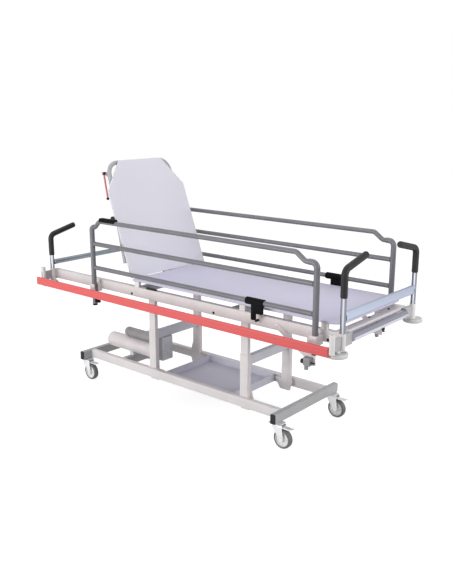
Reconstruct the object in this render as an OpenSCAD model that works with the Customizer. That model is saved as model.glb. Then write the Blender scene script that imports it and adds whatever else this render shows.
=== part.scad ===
// Height-adjustable patient transport trolley: a castored base, four telescopic columns, a frame with
// a fixed seat board, a raised backrest, two sliding side rails and a push handle frame at each end.
// The origin is on the floor under the middle of the trolley. +X runs towards the foot end, -Y is the
// near side and +Z is up. Lengths are in millimetres and angles in degrees.

/* [Upper frame] */
// Distance between the head and the foot handle posts
post_span = 2016; // [2010:1:2046]
// Height of the frame's top above the floor
frame_top = 665; // [655:1:685]
// Width over the two long frame rails
frame_width = 600; // [580:1:640]
// Height of a long frame rail
rail_h = 55; // [50:1:60]
// Width of a long frame rail
rail_w = 30; // [26:1:34]
// Wall of the square steel tubes
tube_wall = 2.5; // [2:0.1:3.5]
// Length of the foot end beam along the trolley
end_beam_l = 49; // [40:1:60]
// Diameter of the bright tube at the foot end of the frame
end_tube_d = 40; // [34:1:44]

/* [Base] */
// Height of a castor, from the floor to the base beams
castor_h = 125; // [120:1:130]
// Height of a base tube
base_tube_h = 50; // [44:1:56]
// Width of a base tube
base_tube_w = 30; // [26:1:34]
// Distance from the middle to the head cross beam's centre
base_head_x = 827; // [815:1:840]
// Distance from the middle to the foot cross beam's centre
base_foot_x = 613; // [600:1:630]
// Width over the two long base tubes
base_width = 430; // [410:1:460]
// Distance from the middle to the centre of the middle cross member
mid_member_x = 553; // [535:1:570]
// Distance from the middle to the tray's head end
tray_head_x = 202; // [180:1:215]
// Distance from the middle to the tray's foot end
tray_foot_x = 287; // [240:1:300]
// Thickness of the tray's sheet
tray_sheet = 2; // [1.5:0.1:3]

/* [Columns] */
// Distance from the middle to the head pair of columns
head_column_x = 300; // [290:1:310]
// Distance from the middle to the foot pair of columns
foot_column_x = 363; // [350:1:375]
// Length of an outer column's section along the trolley
column_l = 52; // [48:1:58]
// Width of an outer column's section
column_w = 28; // [26:1:34]
// Wall of an outer column
column_wall = 2; // [1.6:0.1:2.4]
// Height of the outer columns' tops above the floor
column_top = 397; // [385:1:405]
// Gap between an outer and an inner column on each side
column_gap = 0.5; // [0.5:0.1:0.8]
// Travel of the frame below the modelled height
lift_down = 110; // [80:1:115]
// Height of the tie beams between the columns
tie_h = 50; // [40:1:56]

/* [Lift power unit] */
// Diameter of the round oil tank
tank_d = 88; // [76:1:90]
// Distance from the middle to the tank's rounded end
tank_head_x = 761; // [700:1:770]
// Height of the tank's axis above the floor
tank_z = 234; // [228:1:240]
// Diameter of the pump motor
motor_d = 56; // [50:1:60]
// Distance from the middle to the motor's rounded end
motor_head_x = 616; // [560:1:650]

/* [Castors] */
// Diameter of a castor wheel
wheel_d = 100; // [96:1:102]
// Width of a castor wheel
wheel_w = 30; // [26:1:32]
// Offset of the wheel's axle behind the swivel axis
castor_trail = 38; // [34:1:40]
// Diameter of a castor's swivel pin
kingpin_d = 14; // [12:0.5:16]
// Distance from a base cross beam's end to the castor's swivel axis
castor_inset = 33.5; // [31:0.5:40]

/* [Boards] */
// Height of the boards' top above the frame's top
board_rise = 40; // [36:1:44]
// Thickness of the seat board and of the backrest board
board_t = 12; // [10:0.5:14]
// Distance from the frame's side to the edge of the boards
board_inset = 7; // [4:1:14]
// Distance from the middle to the backrest's hinge axis
hinge_x = 344; // [343:1:352]
// Distance from the middle to the seat board's foot end
seat_foot_x = 973; // [950:1:985]
// Length of the backrest board from its hinge axis
back_l = 661; // [640:1:662]
// Length of the backrest's tapered top part
back_taper_l = 165; // [140:1:190]
// Width of the backrest board's top edge
back_top_w = 320; // [290:1:340]
// Angle at which the backrest stands
back_angle = 70; // [60:1:72]
// Diameter of the backrest's bent tube
hoop_d = 24; // [20:1:24]

/* [Side rails] */
// Distance from the frame's side to a side rail's axis
rail_stand_off = 40; // [38:1:45]
// Diameter of a side rail's uprights
upright_d = 28; // [26:0.5:30]
// Diameter of a side rail's bars
bar_d = 24; // [20:0.5:24]
// Distance from the middle to the head upright
head_upright_x = 606; // [598:1:612]
// Distance from the middle to the foot upright
foot_upright_x = 880; // [870:1:892]
// Height of the top bar above the frame's top
top_bar_rise = 338; // [310:1:350]
// Height of the middle bar above the frame's top
mid_bar_rise = 209; // [200:1:215]
// Height of the low bar above the frame's top
low_bar_rise = 74; // [70:1:80]

/* [Handles and buffers] */
// Distance from the frame's side to a handle post's axis
post_stand_out = 25; // [22:1:30]
// Diameter of a handle post
post_d = 25; // [22:0.5:25.5]
// Diameter of a rubber grip
grip_d = 32; // [29:0.5:36]
// Height of the foot handle's bend above the frame's top
foot_bend_rise = 287; // [270:1:300]
// Height of the head handle's bend above the frame's top
head_bend_rise = 210; // [195:1:230]
// Diameter of an infusion pole's socket bore
pole_bore_d = 16.5; // [14:0.1:17]
// Diameter of a corner buffer disc
disc_d = 98; // [90:1:104]
// Height of the side buffer strip
strip_h = 45; // [40:1:50]
// Thickness of the side buffer strip
strip_t = 12; // [10:0.5:14]

/* [Hidden] */
$fn = 48;

// Overrun of every cut beyond the faces it opens
cut = 1;
// Gap between parts that slide past each other
slide_gap = 0.3;
// Gap around a pin or an axle
pin_gap = 0.1;
// Small rounding on moulded parts
soft_edge = 2;
// Length by which a straight stretch of tube laps into a bend
bend_lap = 1;
// Extra diameter of a bend
bend_swell = 0.1;

paint = [0.87, 0.86, 0.85];
shade_paint = [0.62, 0.62, 0.64];
board_grey = [0.79, 0.79, 0.84];
rail_grey = [0.52, 0.51, 0.55];
bright = [0.8, 0.81, 0.83];
black = [0.12, 0.12, 0.13];
red = [0.9, 0.37, 0.36];

// Upper frame, worked out
frame_bottom = frame_top - rail_h;
post_x = post_span / 2;
beam_cope = 2;
beam_outer_x = post_x - end_tube_d / 2 + beam_cope;
beam_inner_x = beam_outer_x - end_beam_l;
rail_y = (frame_width - rail_w) / 2;
rail_inner_y = frame_width / 2 - rail_w;
rail_head_over = 17;
inner_beam_h = 30;
inner_beam_drop = 3;
inner_beam_top = frame_top - inner_beam_drop;
column_head_z = inner_beam_top - inner_beam_h;
drain_d = 8;
end_tube_z = frame_bottom + end_tube_d * 3 / 4;
post_y = frame_width / 2 + post_stand_out;
post_gap = 0.3;
socket_wall = 2.5;
socket_d = post_d + 2 * post_gap + 2 * socket_wall;
socket_seat = 2.5;
block_side_y = post_y - socket_d / 2 + socket_seat;
block_reach = 53;
block_inner_y = frame_width / 2 - block_reach;
block_over = 4;
head_block_l = 24;

// Base, worked out
base_top = castor_h + base_tube_h;
base_overhang = 61.5;
base_beam_l = base_width + 2 * base_overhang;
side_tube_y = (base_width - base_tube_w) / 2;
side_tube_inner_y = base_width / 2 - base_tube_w;
side_tube_head_x = -base_head_x + base_tube_w / 2;
side_tube_foot_x = base_foot_x - base_tube_w / 2;
cap_flange_t = 3;
cap_plug_l = 12;
tray_floor_rise = 8;
tray_bottom = castor_h + tray_floor_rise;
tray_rim_drop = 1;

// Columns, worked out
column_lap = 10;
column_y = side_tube_inner_y + column_lap - column_w / 2;
column_floor_t = 4;
column_floor_z = base_top + column_floor_t;
column_bore_l = column_l - 2 * column_wall;
column_bore_w = column_w - 2 * column_wall;
column_leg_drop = 21;
inner_l = column_bore_l - 2 * column_gap;
inner_w = column_bore_w - 2 * column_gap;
inner_wall = 2;
inner_rest_gap = 10;
inner_bottom = column_floor_z + lift_down + inner_rest_gap;
inner_top_t = 3;
shoe_h = 20;
shoe_flange_t = 5;
collar_t = 4;
leg_bottom = castor_h - column_leg_drop;
foot_plate_t = 4;
foot_plate_h = 60;
foot_toe = 8;
foot_long_l = 41;
foot_long_rise = 50;
foot_long_drop = 10;
foot_short_l = 21;
foot_short_drop = 14;
tie_w = 30;
tie_drop = 7;
tie_bottom = column_top - tie_drop - tie_h;
ram_side_gap = 1.5;
ram_d = inner_w - 2 * inner_wall - 2 * ram_side_gap;
ram_wall = 2;
ram_rod_d = 8;
ram_rod_gap = 0.1;
ram_top_drop = 28;
ram_top = column_top - ram_top_drop;
ram_gland_h = 10;
piston_h = 12;
piston_gap = 0.1;
ram_floor_gap = 8;
ram_rod_bottom = column_floor_z + ram_wall + lift_down + ram_floor_gap;

// Power unit, worked out
block_l = 50;
block_w = 84;
block_bottom_z = 205;
block_clear = 45;
pump_y = -side_tube_inner_y + block_clear + block_w / 2;
block_head_x = -head_column_x - block_l / 2;
tank_edge_r = 22;
motor_edge_r = 14;
motor_gap = 2;
motor_z = tank_z + tank_d / 2 + motor_gap + motor_d / 2;
saddle_w = 56;

// Castors, worked out
swivel_y = base_beam_l / 2 - castor_inset;
plate_t = 4;
plate_l = 70;
plate_w = 58;
swivel_gap = 0.4;
crown_top = castor_h - plate_t - swivel_gap;
crown_t = 13;
crown_d = 50;
kingpin_head_d = 22;
kingpin_head_t = 3;
leg_t = 4;
wheel_side_gap = 1;
leg_inner_y = wheel_w / 2 + wheel_side_gap;
axle_d = 12;
axle_head_d = 20;
axle_head_t = 3;
axle_boss_r = 12;
tread_t = 12;
hub_web_w = 16;
pedal_pivot_x = 34;
pedal_pivot_drop = 12;
pedal_pin_d = 5;
pedal_barrel_d = 9;
pedal_t = 5;
pedal_l = 66;
pedal_tab_l = 22;
pedal_tab_t = 9;

// Boards and hinges, worked out
board_top = frame_top + board_rise;
board_w = frame_width - 2 * board_inset;
board_z = board_top - board_t;
hinge_z = board_top - board_t / 2;
barrel_r = board_t / 2;
barrel_gap = 1;
back_start = barrel_r + barrel_gap;
back_full_l = back_l - back_taper_l;
seat_corner_r = 60;
hinge_w = 84;
hinge_knuckle_w = 26;
hinge_leaf_l = 46;
hinge_leaf_t = 2.5;
hinge_pin_d = 6;
hinge_spots_share = [-0.36, 0, 0.36];
hoop_wall = 2;
hoop_clear = 1;
hoop_z = -board_t / 2 - hoop_d / 2 - hoop_clear;
hoop_foot_l = 97;
hoop_foot_inset = 3;
hoop_foot_half = board_w / 2 - hoop_foot_inset;
hoop_top_inset = 6;
hoop_top_l = back_l - hoop_top_inset;
hoop_top_over = 66;
hoop_top_half = back_top_w / 2 + hoop_top_over;
hoop_bend_r = 70;
hoop_pad_l = 44;
hoop_pad_w = 14;
hoop_pad_shares = [0.27, 0.73];
hoop_pad_top_inset = 50;
hoop_pad_top_y = back_top_w / 2 - hoop_pad_top_inset;

// Gas spring, worked out
gas_foot_reach = 34;
gas_foot_x = -head_column_x - column_l / 2 - gas_foot_reach;
gas_foot_drop = 2;
gas_foot_z = column_head_z - gas_foot_drop;
gas_arm_l = 220;
gas_arm_z = -62;
gas_tube_d = 22;
gas_tube_end = 188;
gas_neck_d = 12;
gas_neck_l = 14;
gas_tube_floor = 24;
gas_tube_gland = 8;
gas_rod_d = 8;
gas_stem_l = 181;
gas_rod_gap = 0.1;
gas_piston_l = 10;
gas_piston_gap = 0.1;
gas_tube_wall = 2;
gas_eye_d = 20;
gas_eye_w = 22;
gas_pin_d = 8;
gas_ring_bore_d = 30;
gas_ring_d = 44;
gas_plate_t = 5;
gas_side_gap = 1.5;
gas_washer_d = 34;
gas_washer_t = 2;
gas_washer_gap = 0.5;
gas_pin_half = gas_eye_w / 2 + gas_side_gap + gas_plate_t + gas_washer_gap;

// Side rails, worked out
side_rail_y = frame_width / 2 + rail_stand_off;
low_bar_z = frame_top + low_bar_rise;
mid_bar_z = frame_top + mid_bar_rise;
top_bar_z = frame_top + top_bar_rise;
head_upright_drop = 135;
head_upright_foot_z = frame_top - head_upright_drop;
foot_upright_drop = 100;
foot_upright_foot_z = frame_top - foot_upright_drop;
elbow_drop = 35;
elbow_z = top_bar_z - elbow_drop;
head_elbow_r = 20;
head_elbow_l = 24;
foot_elbow_r = 26;
foot_elbow_l = 40;
bar_start_drop = 50;
head_step_l = 30;
head_slope_l = 65;
foot_step_l = 62;
foot_slope_l = 110;
step_bend_r = 20;
slope_bend_r = 30;
rail_tube_wall = 2;
foot_cap_t = 10;
foot_cap_plug = 12;
guide_h = 45;
guide_drop = 10;
guide_bottom_z = frame_bottom - guide_drop;
guide_wall = 4;
guide_gap = 0.4;
guide_mouth_gap = 1.5;
guide_mouth = bar_d + guide_mouth_gap;
pad_l = 120;
pad_h = 9;
pad_w = 30;
pad_head_x = 527;
foot_lug_l = 42;
foot_lug_w = 20;
foot_lug_h = 26;
foot_lug_rise = 10;

// Latches and plungers
latch_x = 547.5;
latch_l = 103;
latch_wall = 5.5;
latch_gap = 0.1;
latch_web_x = 525;
latch_web_l = 66;
latch_web_drop = 56;
latch_t = 14;
latch_long_w = 23;
latch_long_drop = 89;
stay_t = 5;
stay_w = 26;
stay_head_x = 645;
stay_foot_x = 844;
stay_rise = 25;
bracket_l = 47;
bracket_w = 26;
bracket_h = 42;
bracket_drop = 123;
bracket_z = frame_bottom - bracket_drop;
bracket_x = 814;
bracket_stub_d = 20;
bracket_stub_l = 20;
plunger_d = 8;
plunger_knob_d = 22;
plunger_knob_l = 18;
plunger_pull = 12;
plunger_tip = 7;
plunger_z = bracket_z + bracket_h * 2 / 5;

// Release lever, worked out
lever_top_drop = 45;
lever_top_l = hoop_top_l - lever_top_drop;
lever_run = 138;
lever_end_l = lever_top_l - lever_run;
lever_z = -56;
lever_end_z = -78;
lever_d = 10;
lever_ball_d = 17;
lever_barrel_d = 16;
lever_barrel_w = 14;
lever_gap = 0.5;
lever_ear_t = 4;
lever_ear_l = 50;
lever_pin_d = 5;
lever_side = 14;
lever_y = -hoop_top_half - lever_side;

// Handles, sockets and buffers
post_wall = 2;
socket_drop = 13;
socket_bottom = frame_bottom - socket_drop;
socket_h = 79;
socket_floor_t = 3;
post_bottom = socket_bottom + socket_floor_t + post_gap;
grip_reach = 170;
grip_lean_rise = 41;
grip_upright_l = 120;
grip_bend_r = 34;
grip_cap_t = 4;
foot_bar_h = 46;
foot_bar_w = 22;
foot_bar_rise = 83;
foot_bar_z = frame_top + foot_bar_rise;
head_bar_d = 30;
head_bar_rise = 46;
head_bar_z = frame_top + head_bar_rise;
pole_wall = 4.25;
pole_d = pole_bore_d + 2 * pole_wall;
pole_h = 90;
pole_drop = 10;
pole_bottom = frame_bottom - pole_drop;
pole_web_t = 10;
pole_web_h = 52;
pole_web_rise = 13;
strip_stand_off = 104;
strip_inner_y = frame_width / 2 + strip_stand_off;
strip_lug_l = 20;
strip_lug_w = 10;
strip_lug_h = 28;
strip_lug_inset = 8;
strip_end_gap = 1.5;
foot_pole_side = 1;
foot_pole_y = strip_inner_y + foot_pole_side;
head_pole_y = strip_inner_y - pole_d / 2;
strip_drop = 25;
strip_bottom = frame_bottom - strip_drop;
strip_head_over = 37;
disc_side = 25;
disc_y = post_y + disc_side;
disc_inset = 8;
disc_x = post_x - disc_inset;
disc_t = 20;
disc_gap = 1;
disc_lug_l = 30;
disc_lug_w = 60;
disc_lug_t = 6;
disc_pin_d = 12;
disc_pin_gap = 0.2;
disc_head_d = 24;
disc_head_t = 4;
disc_head_gap = 0.5;

// Fasteners
plug_d = 14;
plug_t = 3;
plug_rise = 13;
plug_x = [-340, 254, 921];
support_x = [-306, 430, 895];
support_l = 34;
support_w = 18;
clamp_lever_x = -190;
clamp_lever_l = 72;
clamp_lever_t = 11;
bolt_d = 12;
bolt_t = 4;
bolt_inset = 11;
foot_knob_d = 15;
keeper_x = 534;
keeper_d = 12;
keeper_l = 22;
foot_knob_l = 14;
foot_knob_drop = 4;
bolt_spots_share = [0, 0.31];
knob_y_share = 0.06;

// Places the children on the near side and, mirrored, on the far side
module both_sides() {
  children();
  mirror([0, 1, 0]) children();
}

// Solid or hollow square tube along X, centred on Y, standing on Z zero
module tube_x(l, w, h, wall) {
  difference() {
    translate([0, -w / 2, 0]) cube([l, w, h]);
    translate([-cut, -w / 2 + wall, wall]) cube([l + 2 * cut, w - 2 * wall, h - 2 * wall]);
  }
}

// Hollow square tube along Y, centred on X and Y, standing on Z zero
module tube_y(l, w, h, wall) {
  translate([0, -l / 2, 0]) rotate([0, 0, 90]) tube_x(l, w, h, wall);
}

// Cylinder along X from x to x + l
module rod_x(d, l) {
  rotate([0, 90, 0]) cylinder(d = d, h = l);
}

// Cylinder along Y, centred on the origin
module rod_y(d, l) {
  rotate([90, 0, 0]) cylinder(d = d, h = l, center = true);
}

// Heading of the stretch of a path that leaves point i
function heading(path, i) =
  atan2(path[i + 1][1] - path[i][1], path[i + 1][0] - path[i][0]);

// Signed turn of a path at its inner point i
function turn(path, i) =
  let (raw = heading(path, i) - heading(path, i - 1))
  raw > 180 ? raw - 360 : raw < -180 ? raw + 360 : raw;

// Length that the bend at point i takes from each stretch beside it
function bend_trim(path, radii, i) =
  i == 0 || i == len(path) - 1 ? 0 : radii[i] * tan(abs(turn(path, i)) / 2);

// Round bar of diameter d along a flat path in the XY plane, bent to radii[i] at each inner point i,
// and run on past both ends by over. Each stretch laps into the bends, which are a little thicker.
module bent_rod(path, radii, d, over = 0) {
  last = len(path) - 1;
  for (i = [0 : last - 1]) {
    from = i == 0 ? -over : bend_trim(path, radii, i) - bend_lap;
    to = norm(path[i + 1] - path[i]) + (i == last - 1 ? over : bend_lap - bend_trim(path, radii, i + 1));
    translate([path[i][0], path[i][1], 0]) rotate([0, 0, heading(path, i)])
      translate([from, 0, 0]) rod_x(d, to - from);
  }
  for (i = [1 : last - 1]) {
    side = turn(path, i) > 0 ? 1 : -1;
    start = side > 0 ? heading(path, i - 1) - 90 : heading(path, i) + 90;
    trim = bend_trim(path, radii, i);
    entry = heading(path, i - 1);
    translate([path[i][0], path[i][1], 0])
      translate([-trim * cos(entry) - side * radii[i] * sin(entry),
                 -trim * sin(entry) + side * radii[i] * cos(entry), 0])
      rotate([0, 0, start]) rotate_extrude(angle = abs(turn(path, i))) translate([radii[i], 0])
        circle(d = d + bend_swell);
  }
}

// Box with its four upright edges rounded, centred on X and Y, standing on Z zero
module round_box(l, w, h, r) {
  translate([-l / 2 + r, -w / 2, 0]) cube([l - 2 * r, w, h]);
  translate([-l / 2, -w / 2 + r, 0]) cube([l, w - 2 * r, h]);
  for (x = [-1, 1], y = [-1, 1])
    translate([x * (l / 2 - r), y * (w / 2 - r), 0]) cylinder(r = r, h = h);
}

// Round body along -X whose far end has a rounded edge
module domed_rod(d, l, edge_r) {
  rotate([0, -90, 0]) rotate_extrude() {
    square([d / 2 - edge_r, l]);
    square([d / 2, l - edge_r]);
    translate([d / 2 - edge_r, l - edge_r]) intersection() {
      circle(r = edge_r);
      square(edge_r);
    }
  }
}

module base_side_tubes() color(paint) both_sides()
  translate([side_tube_head_x, -side_tube_y, castor_h])
    tube_x(side_tube_foot_x - side_tube_head_x, base_tube_w, base_tube_h, tube_wall);

module base_cross_beams() color(paint) {
  for (x = [-base_head_x, base_foot_x])
    translate([x, 0, castor_h]) tube_y(base_beam_l, base_tube_w, base_tube_h, tube_wall);
  translate([-mid_member_x, 0, castor_h])
    tube_y(2 * side_tube_inner_y, base_tube_w, base_tube_h, tube_wall);
}

module base_end_caps() color(black) {
  plug_w = base_tube_w - 2 * tube_wall - 2 * slide_gap;
  for (x = [-base_head_x, base_foot_x]) both_sides() {
    translate([x, -base_beam_l / 2 - cap_flange_t, castor_h])
      translate([-base_tube_w / 2, 0, 0]) cube([base_tube_w, cap_flange_t, base_tube_h]);
    translate([x - plug_w / 2, -base_beam_l / 2, castor_h + tube_wall + slide_gap])
      cube([plug_w, cap_plug_l, base_tube_h - 2 * tube_wall - 2 * slide_gap]);
  }
}

module load_tray() color([0.63, 0.63, 0.67]) {
  tray_l = tray_head_x + tray_foot_x;
  tray_w = 2 * side_tube_inner_y;
  rim_z = base_top - tray_rim_drop;
  difference() {
    translate([-tray_head_x, -tray_w / 2, tray_bottom]) cube([tray_l, tray_w, rim_z - tray_bottom]);
    translate([-tray_head_x + tray_sheet, -tray_w / 2 + tray_sheet, tray_bottom + tray_sheet])
      cube([tray_l - 2 * tray_sheet, tray_w - 2 * tray_sheet, rim_z]);
  }
}

// Runs the children at the middle of each of the four columns, on the floor
module at_columns() {
  for (x = [-head_column_x, foot_column_x], y = [-1, 1])
    translate([x, y * column_y, 0]) children();
}

// Hollow leg that takes a near column down beside the side tube, with its foot plate, whose long wing
// points to +X
module column_leg() {
  leg_w = column_w - column_lap;
  difference() {
    translate([-column_l / 2, -side_tube_inner_y, leg_bottom])
      cube([column_l, leg_w, base_top - leg_bottom]);
    translate([-column_bore_l / 2, -side_tube_inner_y + column_wall, leg_bottom - cut])
      cube([column_bore_l, leg_w - 2 * column_wall, base_top - leg_bottom - column_wall + cut]);
  }
  translate([0, -side_tube_inner_y + leg_w, 0]) rotate([90, 0, 0]) linear_extrude(foot_plate_t)
    difference() {
      polygon([[column_l / 2 + foot_toe, leg_bottom],
               [column_l / 2 + foot_long_l, leg_bottom + foot_long_rise],
               [column_l / 2 + foot_long_l, base_top - foot_long_drop],
               [column_l / 2, base_top - foot_long_drop], [column_l / 2, base_top + foot_plate_h],
               [-column_l / 2, base_top + foot_plate_h],
               [-column_l / 2 - foot_short_l, base_top - foot_short_drop],
               [-column_l / 2 - foot_toe, leg_bottom + foot_toe], [-column_l / 2, leg_bottom]]);
      translate([-column_bore_l / 2, column_floor_z])
        square([column_bore_l, foot_plate_h]);
    }
}

module outer_columns() color(paint) {
  at_columns() difference() {
    translate([-column_l / 2, -column_w / 2, base_top])
      cube([column_l, column_w, column_top - base_top]);
    translate([-column_bore_l / 2, -column_bore_w / 2, column_floor_z])
      cube([column_bore_l, column_bore_w, column_top]);
  }
  both_sides() {
    translate([-head_column_x, 0, 0]) column_leg();
    translate([foot_column_x, 0, 0]) mirror([1, 0, 0]) column_leg();
  }
}

module column_ties() color(shade_paint)
  for (x = [-head_column_x, foot_column_x])
    translate([x, 0, tie_bottom]) tube_y(2 * column_y - column_w, tie_w, tie_h, tube_wall);

module column_collars() color(paint) at_columns() translate([0, 0, column_top]) difference() {
  translate([-column_l / 2, -column_w / 2, 0]) cube([column_l, column_w, collar_t]);
  translate([-inner_l / 2 - slide_gap, -inner_w / 2 - slide_gap, -cut])
    cube([inner_l + 2 * slide_gap, inner_w + 2 * slide_gap, collar_t + 2 * cut]);
}

module ram_cylinders() color(shade_paint) at_columns()
  translate([0, 0, column_floor_z]) difference() {
    cylinder(d = ram_d, h = ram_top - column_floor_z);
    translate([0, 0, ram_wall])
      cylinder(d = ram_d - 2 * ram_wall, h = ram_top - column_floor_z - ram_wall - ram_gland_h);
    translate([0, 0, ram_wall]) cylinder(d = ram_rod_d + 2 * ram_rod_gap, h = ram_top);
  }

module pump_tank() color([0.82, 0.79, 0.8])
  translate([block_head_x, pump_y, tank_z])
    domed_rod(tank_d, tank_head_x + block_head_x, tank_edge_r);

module pump_motor() color([0.5, 0.49, 0.5])
  translate([block_head_x, pump_y, motor_z])
    domed_rod(motor_d, motor_head_x + block_head_x, motor_edge_r);

module pump_block() color([0.55, 0.55, 0.58]) {
  translate([block_head_x, pump_y - block_w / 2, block_bottom_z])
    cube([block_l, block_w, tie_bottom - block_bottom_z]);
  difference() {
    translate([-mid_member_x - base_tube_w / 2, pump_y - saddle_w / 2, base_top])
      cube([base_tube_w, saddle_w, tank_z - tank_d / 4 - base_top]);
    translate([-mid_member_x - base_tube_w / 2 - cut, pump_y, tank_z])
      rod_x(tank_d, base_tube_w + 2 * cut);
  }
}

// Plate and swivel pin of a castor, which stands with its swivel axis on the origin
module castor_plate() {
  translate([0, 0, castor_h - plate_t]) round_box(plate_l, plate_w, plate_t, 2 * soft_edge);
  translate([0, 0, crown_top - crown_t - swivel_gap])
    cylinder(d = kingpin_d, h = castor_h - plate_t - crown_top + crown_t + swivel_gap);
  translate([0, 0, crown_top - crown_t - swivel_gap - kingpin_head_t])
    cylinder(d = kingpin_head_d, h = kingpin_head_t);
}

module castor_fork() {
  axle_z = wheel_d / 2;
  leg_top = crown_top;
  leg_front = -crown_d / 3;
  leg_back = pedal_pivot_x + pedal_barrel_d;
  difference() {
    union() {
      translate([0, 0, crown_top - crown_t]) cylinder(d = crown_d, h = crown_t);
      translate([leg_front, -leg_inner_y - leg_t, leg_top - crown_t / 2])
        cube([-leg_front + crown_d / 4, 2 * leg_inner_y + 2 * leg_t, crown_t / 2]);
      for (y = [-leg_inner_y - leg_t, leg_inner_y])
        translate([0, y + leg_t, 0]) rotate([90, 0, 0]) linear_extrude(leg_t) {
          polygon([[leg_front, leg_top], [leg_back, leg_top], [leg_back, leg_top - 2 * pedal_pivot_drop],
                   [castor_trail + axle_boss_r, axle_z], [castor_trail - axle_boss_r, axle_z],
                   [leg_front, leg_top - crown_t]]);
          translate([castor_trail, axle_z]) circle(r = axle_boss_r);
        }
    }
    translate([0, 0, crown_top - crown_t - cut])
      cylinder(d = kingpin_d + 2 * pin_gap, h = crown_t + 2 * cut);
  }
  translate([castor_trail, 0, axle_z]) rod_y(axle_d, 2 * (leg_inner_y + leg_t));
  for (y = [-1, 1])
    translate([castor_trail, y * (leg_inner_y + leg_t + axle_head_t / 2), axle_z])
      rod_y(axle_head_d, axle_head_t);
  translate([pedal_pivot_x, 0, crown_top - pedal_pivot_drop])
    rod_y(pedal_pin_d, 2 * leg_inner_y + leg_t);
}

module castor_wheel() {
  rim_r = wheel_d / 2 - tread_t;
  translate([castor_trail, 0, wheel_d / 2]) {
    difference() {
      union() {
        rod_y(2 * rim_r, hub_web_w);
        rod_y(2 * axle_d + 2 * soft_edge, wheel_w);
      }
      rod_y(axle_d + 2 * pin_gap, wheel_w + 2 * cut);
    }
    rotate([90, 0, 0]) rotate_extrude() {
      translate([rim_r, -wheel_w / 2 + soft_edge]) square([tread_t, wheel_w - 2 * soft_edge]);
      translate([rim_r, -wheel_w / 2]) square([tread_t - soft_edge, wheel_w]);
      for (y = [-1, 1]) translate([wheel_d / 2 - soft_edge, y * (wheel_w / 2 - soft_edge)])
        circle(r = soft_edge);
    }
  }
}

module brake_pedal() {
  pedal_w = 2 * leg_inner_y - 2 * wheel_side_gap;
  translate([pedal_pivot_x, 0, crown_top - pedal_pivot_drop]) difference() {
    union() {
      rod_y(pedal_barrel_d, pedal_w);
      translate([0, -pedal_w / 2, -pedal_t / 2]) cube([pedal_l - pedal_tab_l / 2, pedal_w, pedal_t]);
      translate([pedal_l - pedal_tab_l / 2, 0, -pedal_t / 2])
        round_box(pedal_tab_l, pedal_w + 2 * soft_edge, pedal_tab_t, 2 * soft_edge);
    }
    rod_y(pedal_pin_d + 2 * pin_gap, pedal_w + 2 * cut);
  }
}

// Runs the children at one castor's swivel axis
module at_castor(x, side) {
  translate([x, side * swivel_y, 0]) children();
}

module castor_plates() color(shade_paint)
  for (x = [-base_head_x, base_foot_x], side = [-1, 1]) at_castor(x, side) castor_plate();

module castor_fork_head_near() color(paint) at_castor(-base_head_x, -1) castor_fork();
module castor_fork_head_far() color(paint) at_castor(-base_head_x, 1) castor_fork();
module castor_fork_foot_near() color(paint) at_castor(base_foot_x, -1) castor_fork();
module castor_fork_foot_far() color(paint) at_castor(base_foot_x, 1) castor_fork();
module castor_wheel_head_near() color([0.5, 0.5, 0.5]) at_castor(-base_head_x, -1) castor_wheel();
module castor_wheel_head_far() color([0.5, 0.5, 0.5]) at_castor(-base_head_x, 1) castor_wheel();
module castor_wheel_foot_near() color([0.5, 0.5, 0.5]) at_castor(base_foot_x, -1) castor_wheel();
module castor_wheel_foot_far() color([0.5, 0.5, 0.5]) at_castor(base_foot_x, 1) castor_wheel();
module brake_pedal_head_near() color(paint) at_castor(-base_head_x, -1) brake_pedal();
module brake_pedal_head_far() color(paint) at_castor(-base_head_x, 1) brake_pedal();
module brake_pedal_foot_near() color(paint) at_castor(base_foot_x, -1) brake_pedal();
module brake_pedal_foot_far() color(paint) at_castor(base_foot_x, 1) brake_pedal();

module inner_columns() color(paint) at_columns() difference() {
  translate([-inner_l / 2, -inner_w / 2, inner_bottom])
    cube([inner_l, inner_w, column_head_z - inner_bottom]);
  translate([-inner_l / 2 + inner_wall, -inner_w / 2 + inner_wall, inner_bottom - cut])
    cube([inner_l - 2 * inner_wall, inner_w - 2 * inner_wall,
          column_head_z - inner_top_t - inner_bottom + cut]);
}

module column_shoes() color(black) at_columns() difference() {
  union() {
    translate([-column_bore_l / 2 + slide_gap, -column_bore_w / 2 + slide_gap,
               inner_bottom - shoe_flange_t])
      cube([column_bore_l - 2 * slide_gap, column_bore_w - 2 * slide_gap, shoe_flange_t]);
    translate([-inner_l / 2 + inner_wall, -inner_w / 2 + inner_wall, inner_bottom])
      cube([inner_l - 2 * inner_wall, inner_w - 2 * inner_wall, shoe_h]);
  }
  translate([0, 0, inner_bottom - shoe_flange_t - cut])
    cylinder(d = ram_d + 2 * slide_gap, h = shoe_flange_t + shoe_h + 2 * cut);
}

module ram_rods() color(bright) at_columns() {
  translate([0, 0, ram_rod_bottom])
    cylinder(d = ram_rod_d, h = column_head_z - inner_top_t - ram_rod_bottom);
  translate([0, 0, ram_rod_bottom])
    cylinder(d = ram_d - 2 * ram_wall - 2 * piston_gap, h = piston_h);
}

// Runs the children at each handle post's axis, on the floor
module at_posts() {
  for (x = [-post_x, post_x], y = [-post_y, post_y]) translate([x, y, 0]) children();
}

module frame_rails() color(paint) difference() {
  both_sides() {
    translate([-post_x - rail_head_over, -rail_y, frame_bottom])
      tube_x(post_x + rail_head_over + beam_inner_x, rail_w, rail_h, tube_wall);
    translate([-post_x - head_block_l / 2, -block_side_y, frame_bottom])
      cube([head_block_l, block_side_y - frame_width / 2 + tube_wall, rail_h]);
  }
  at_posts() translate([0, 0, socket_bottom]) cylinder(d = socket_d, h = socket_h);
}

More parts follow.
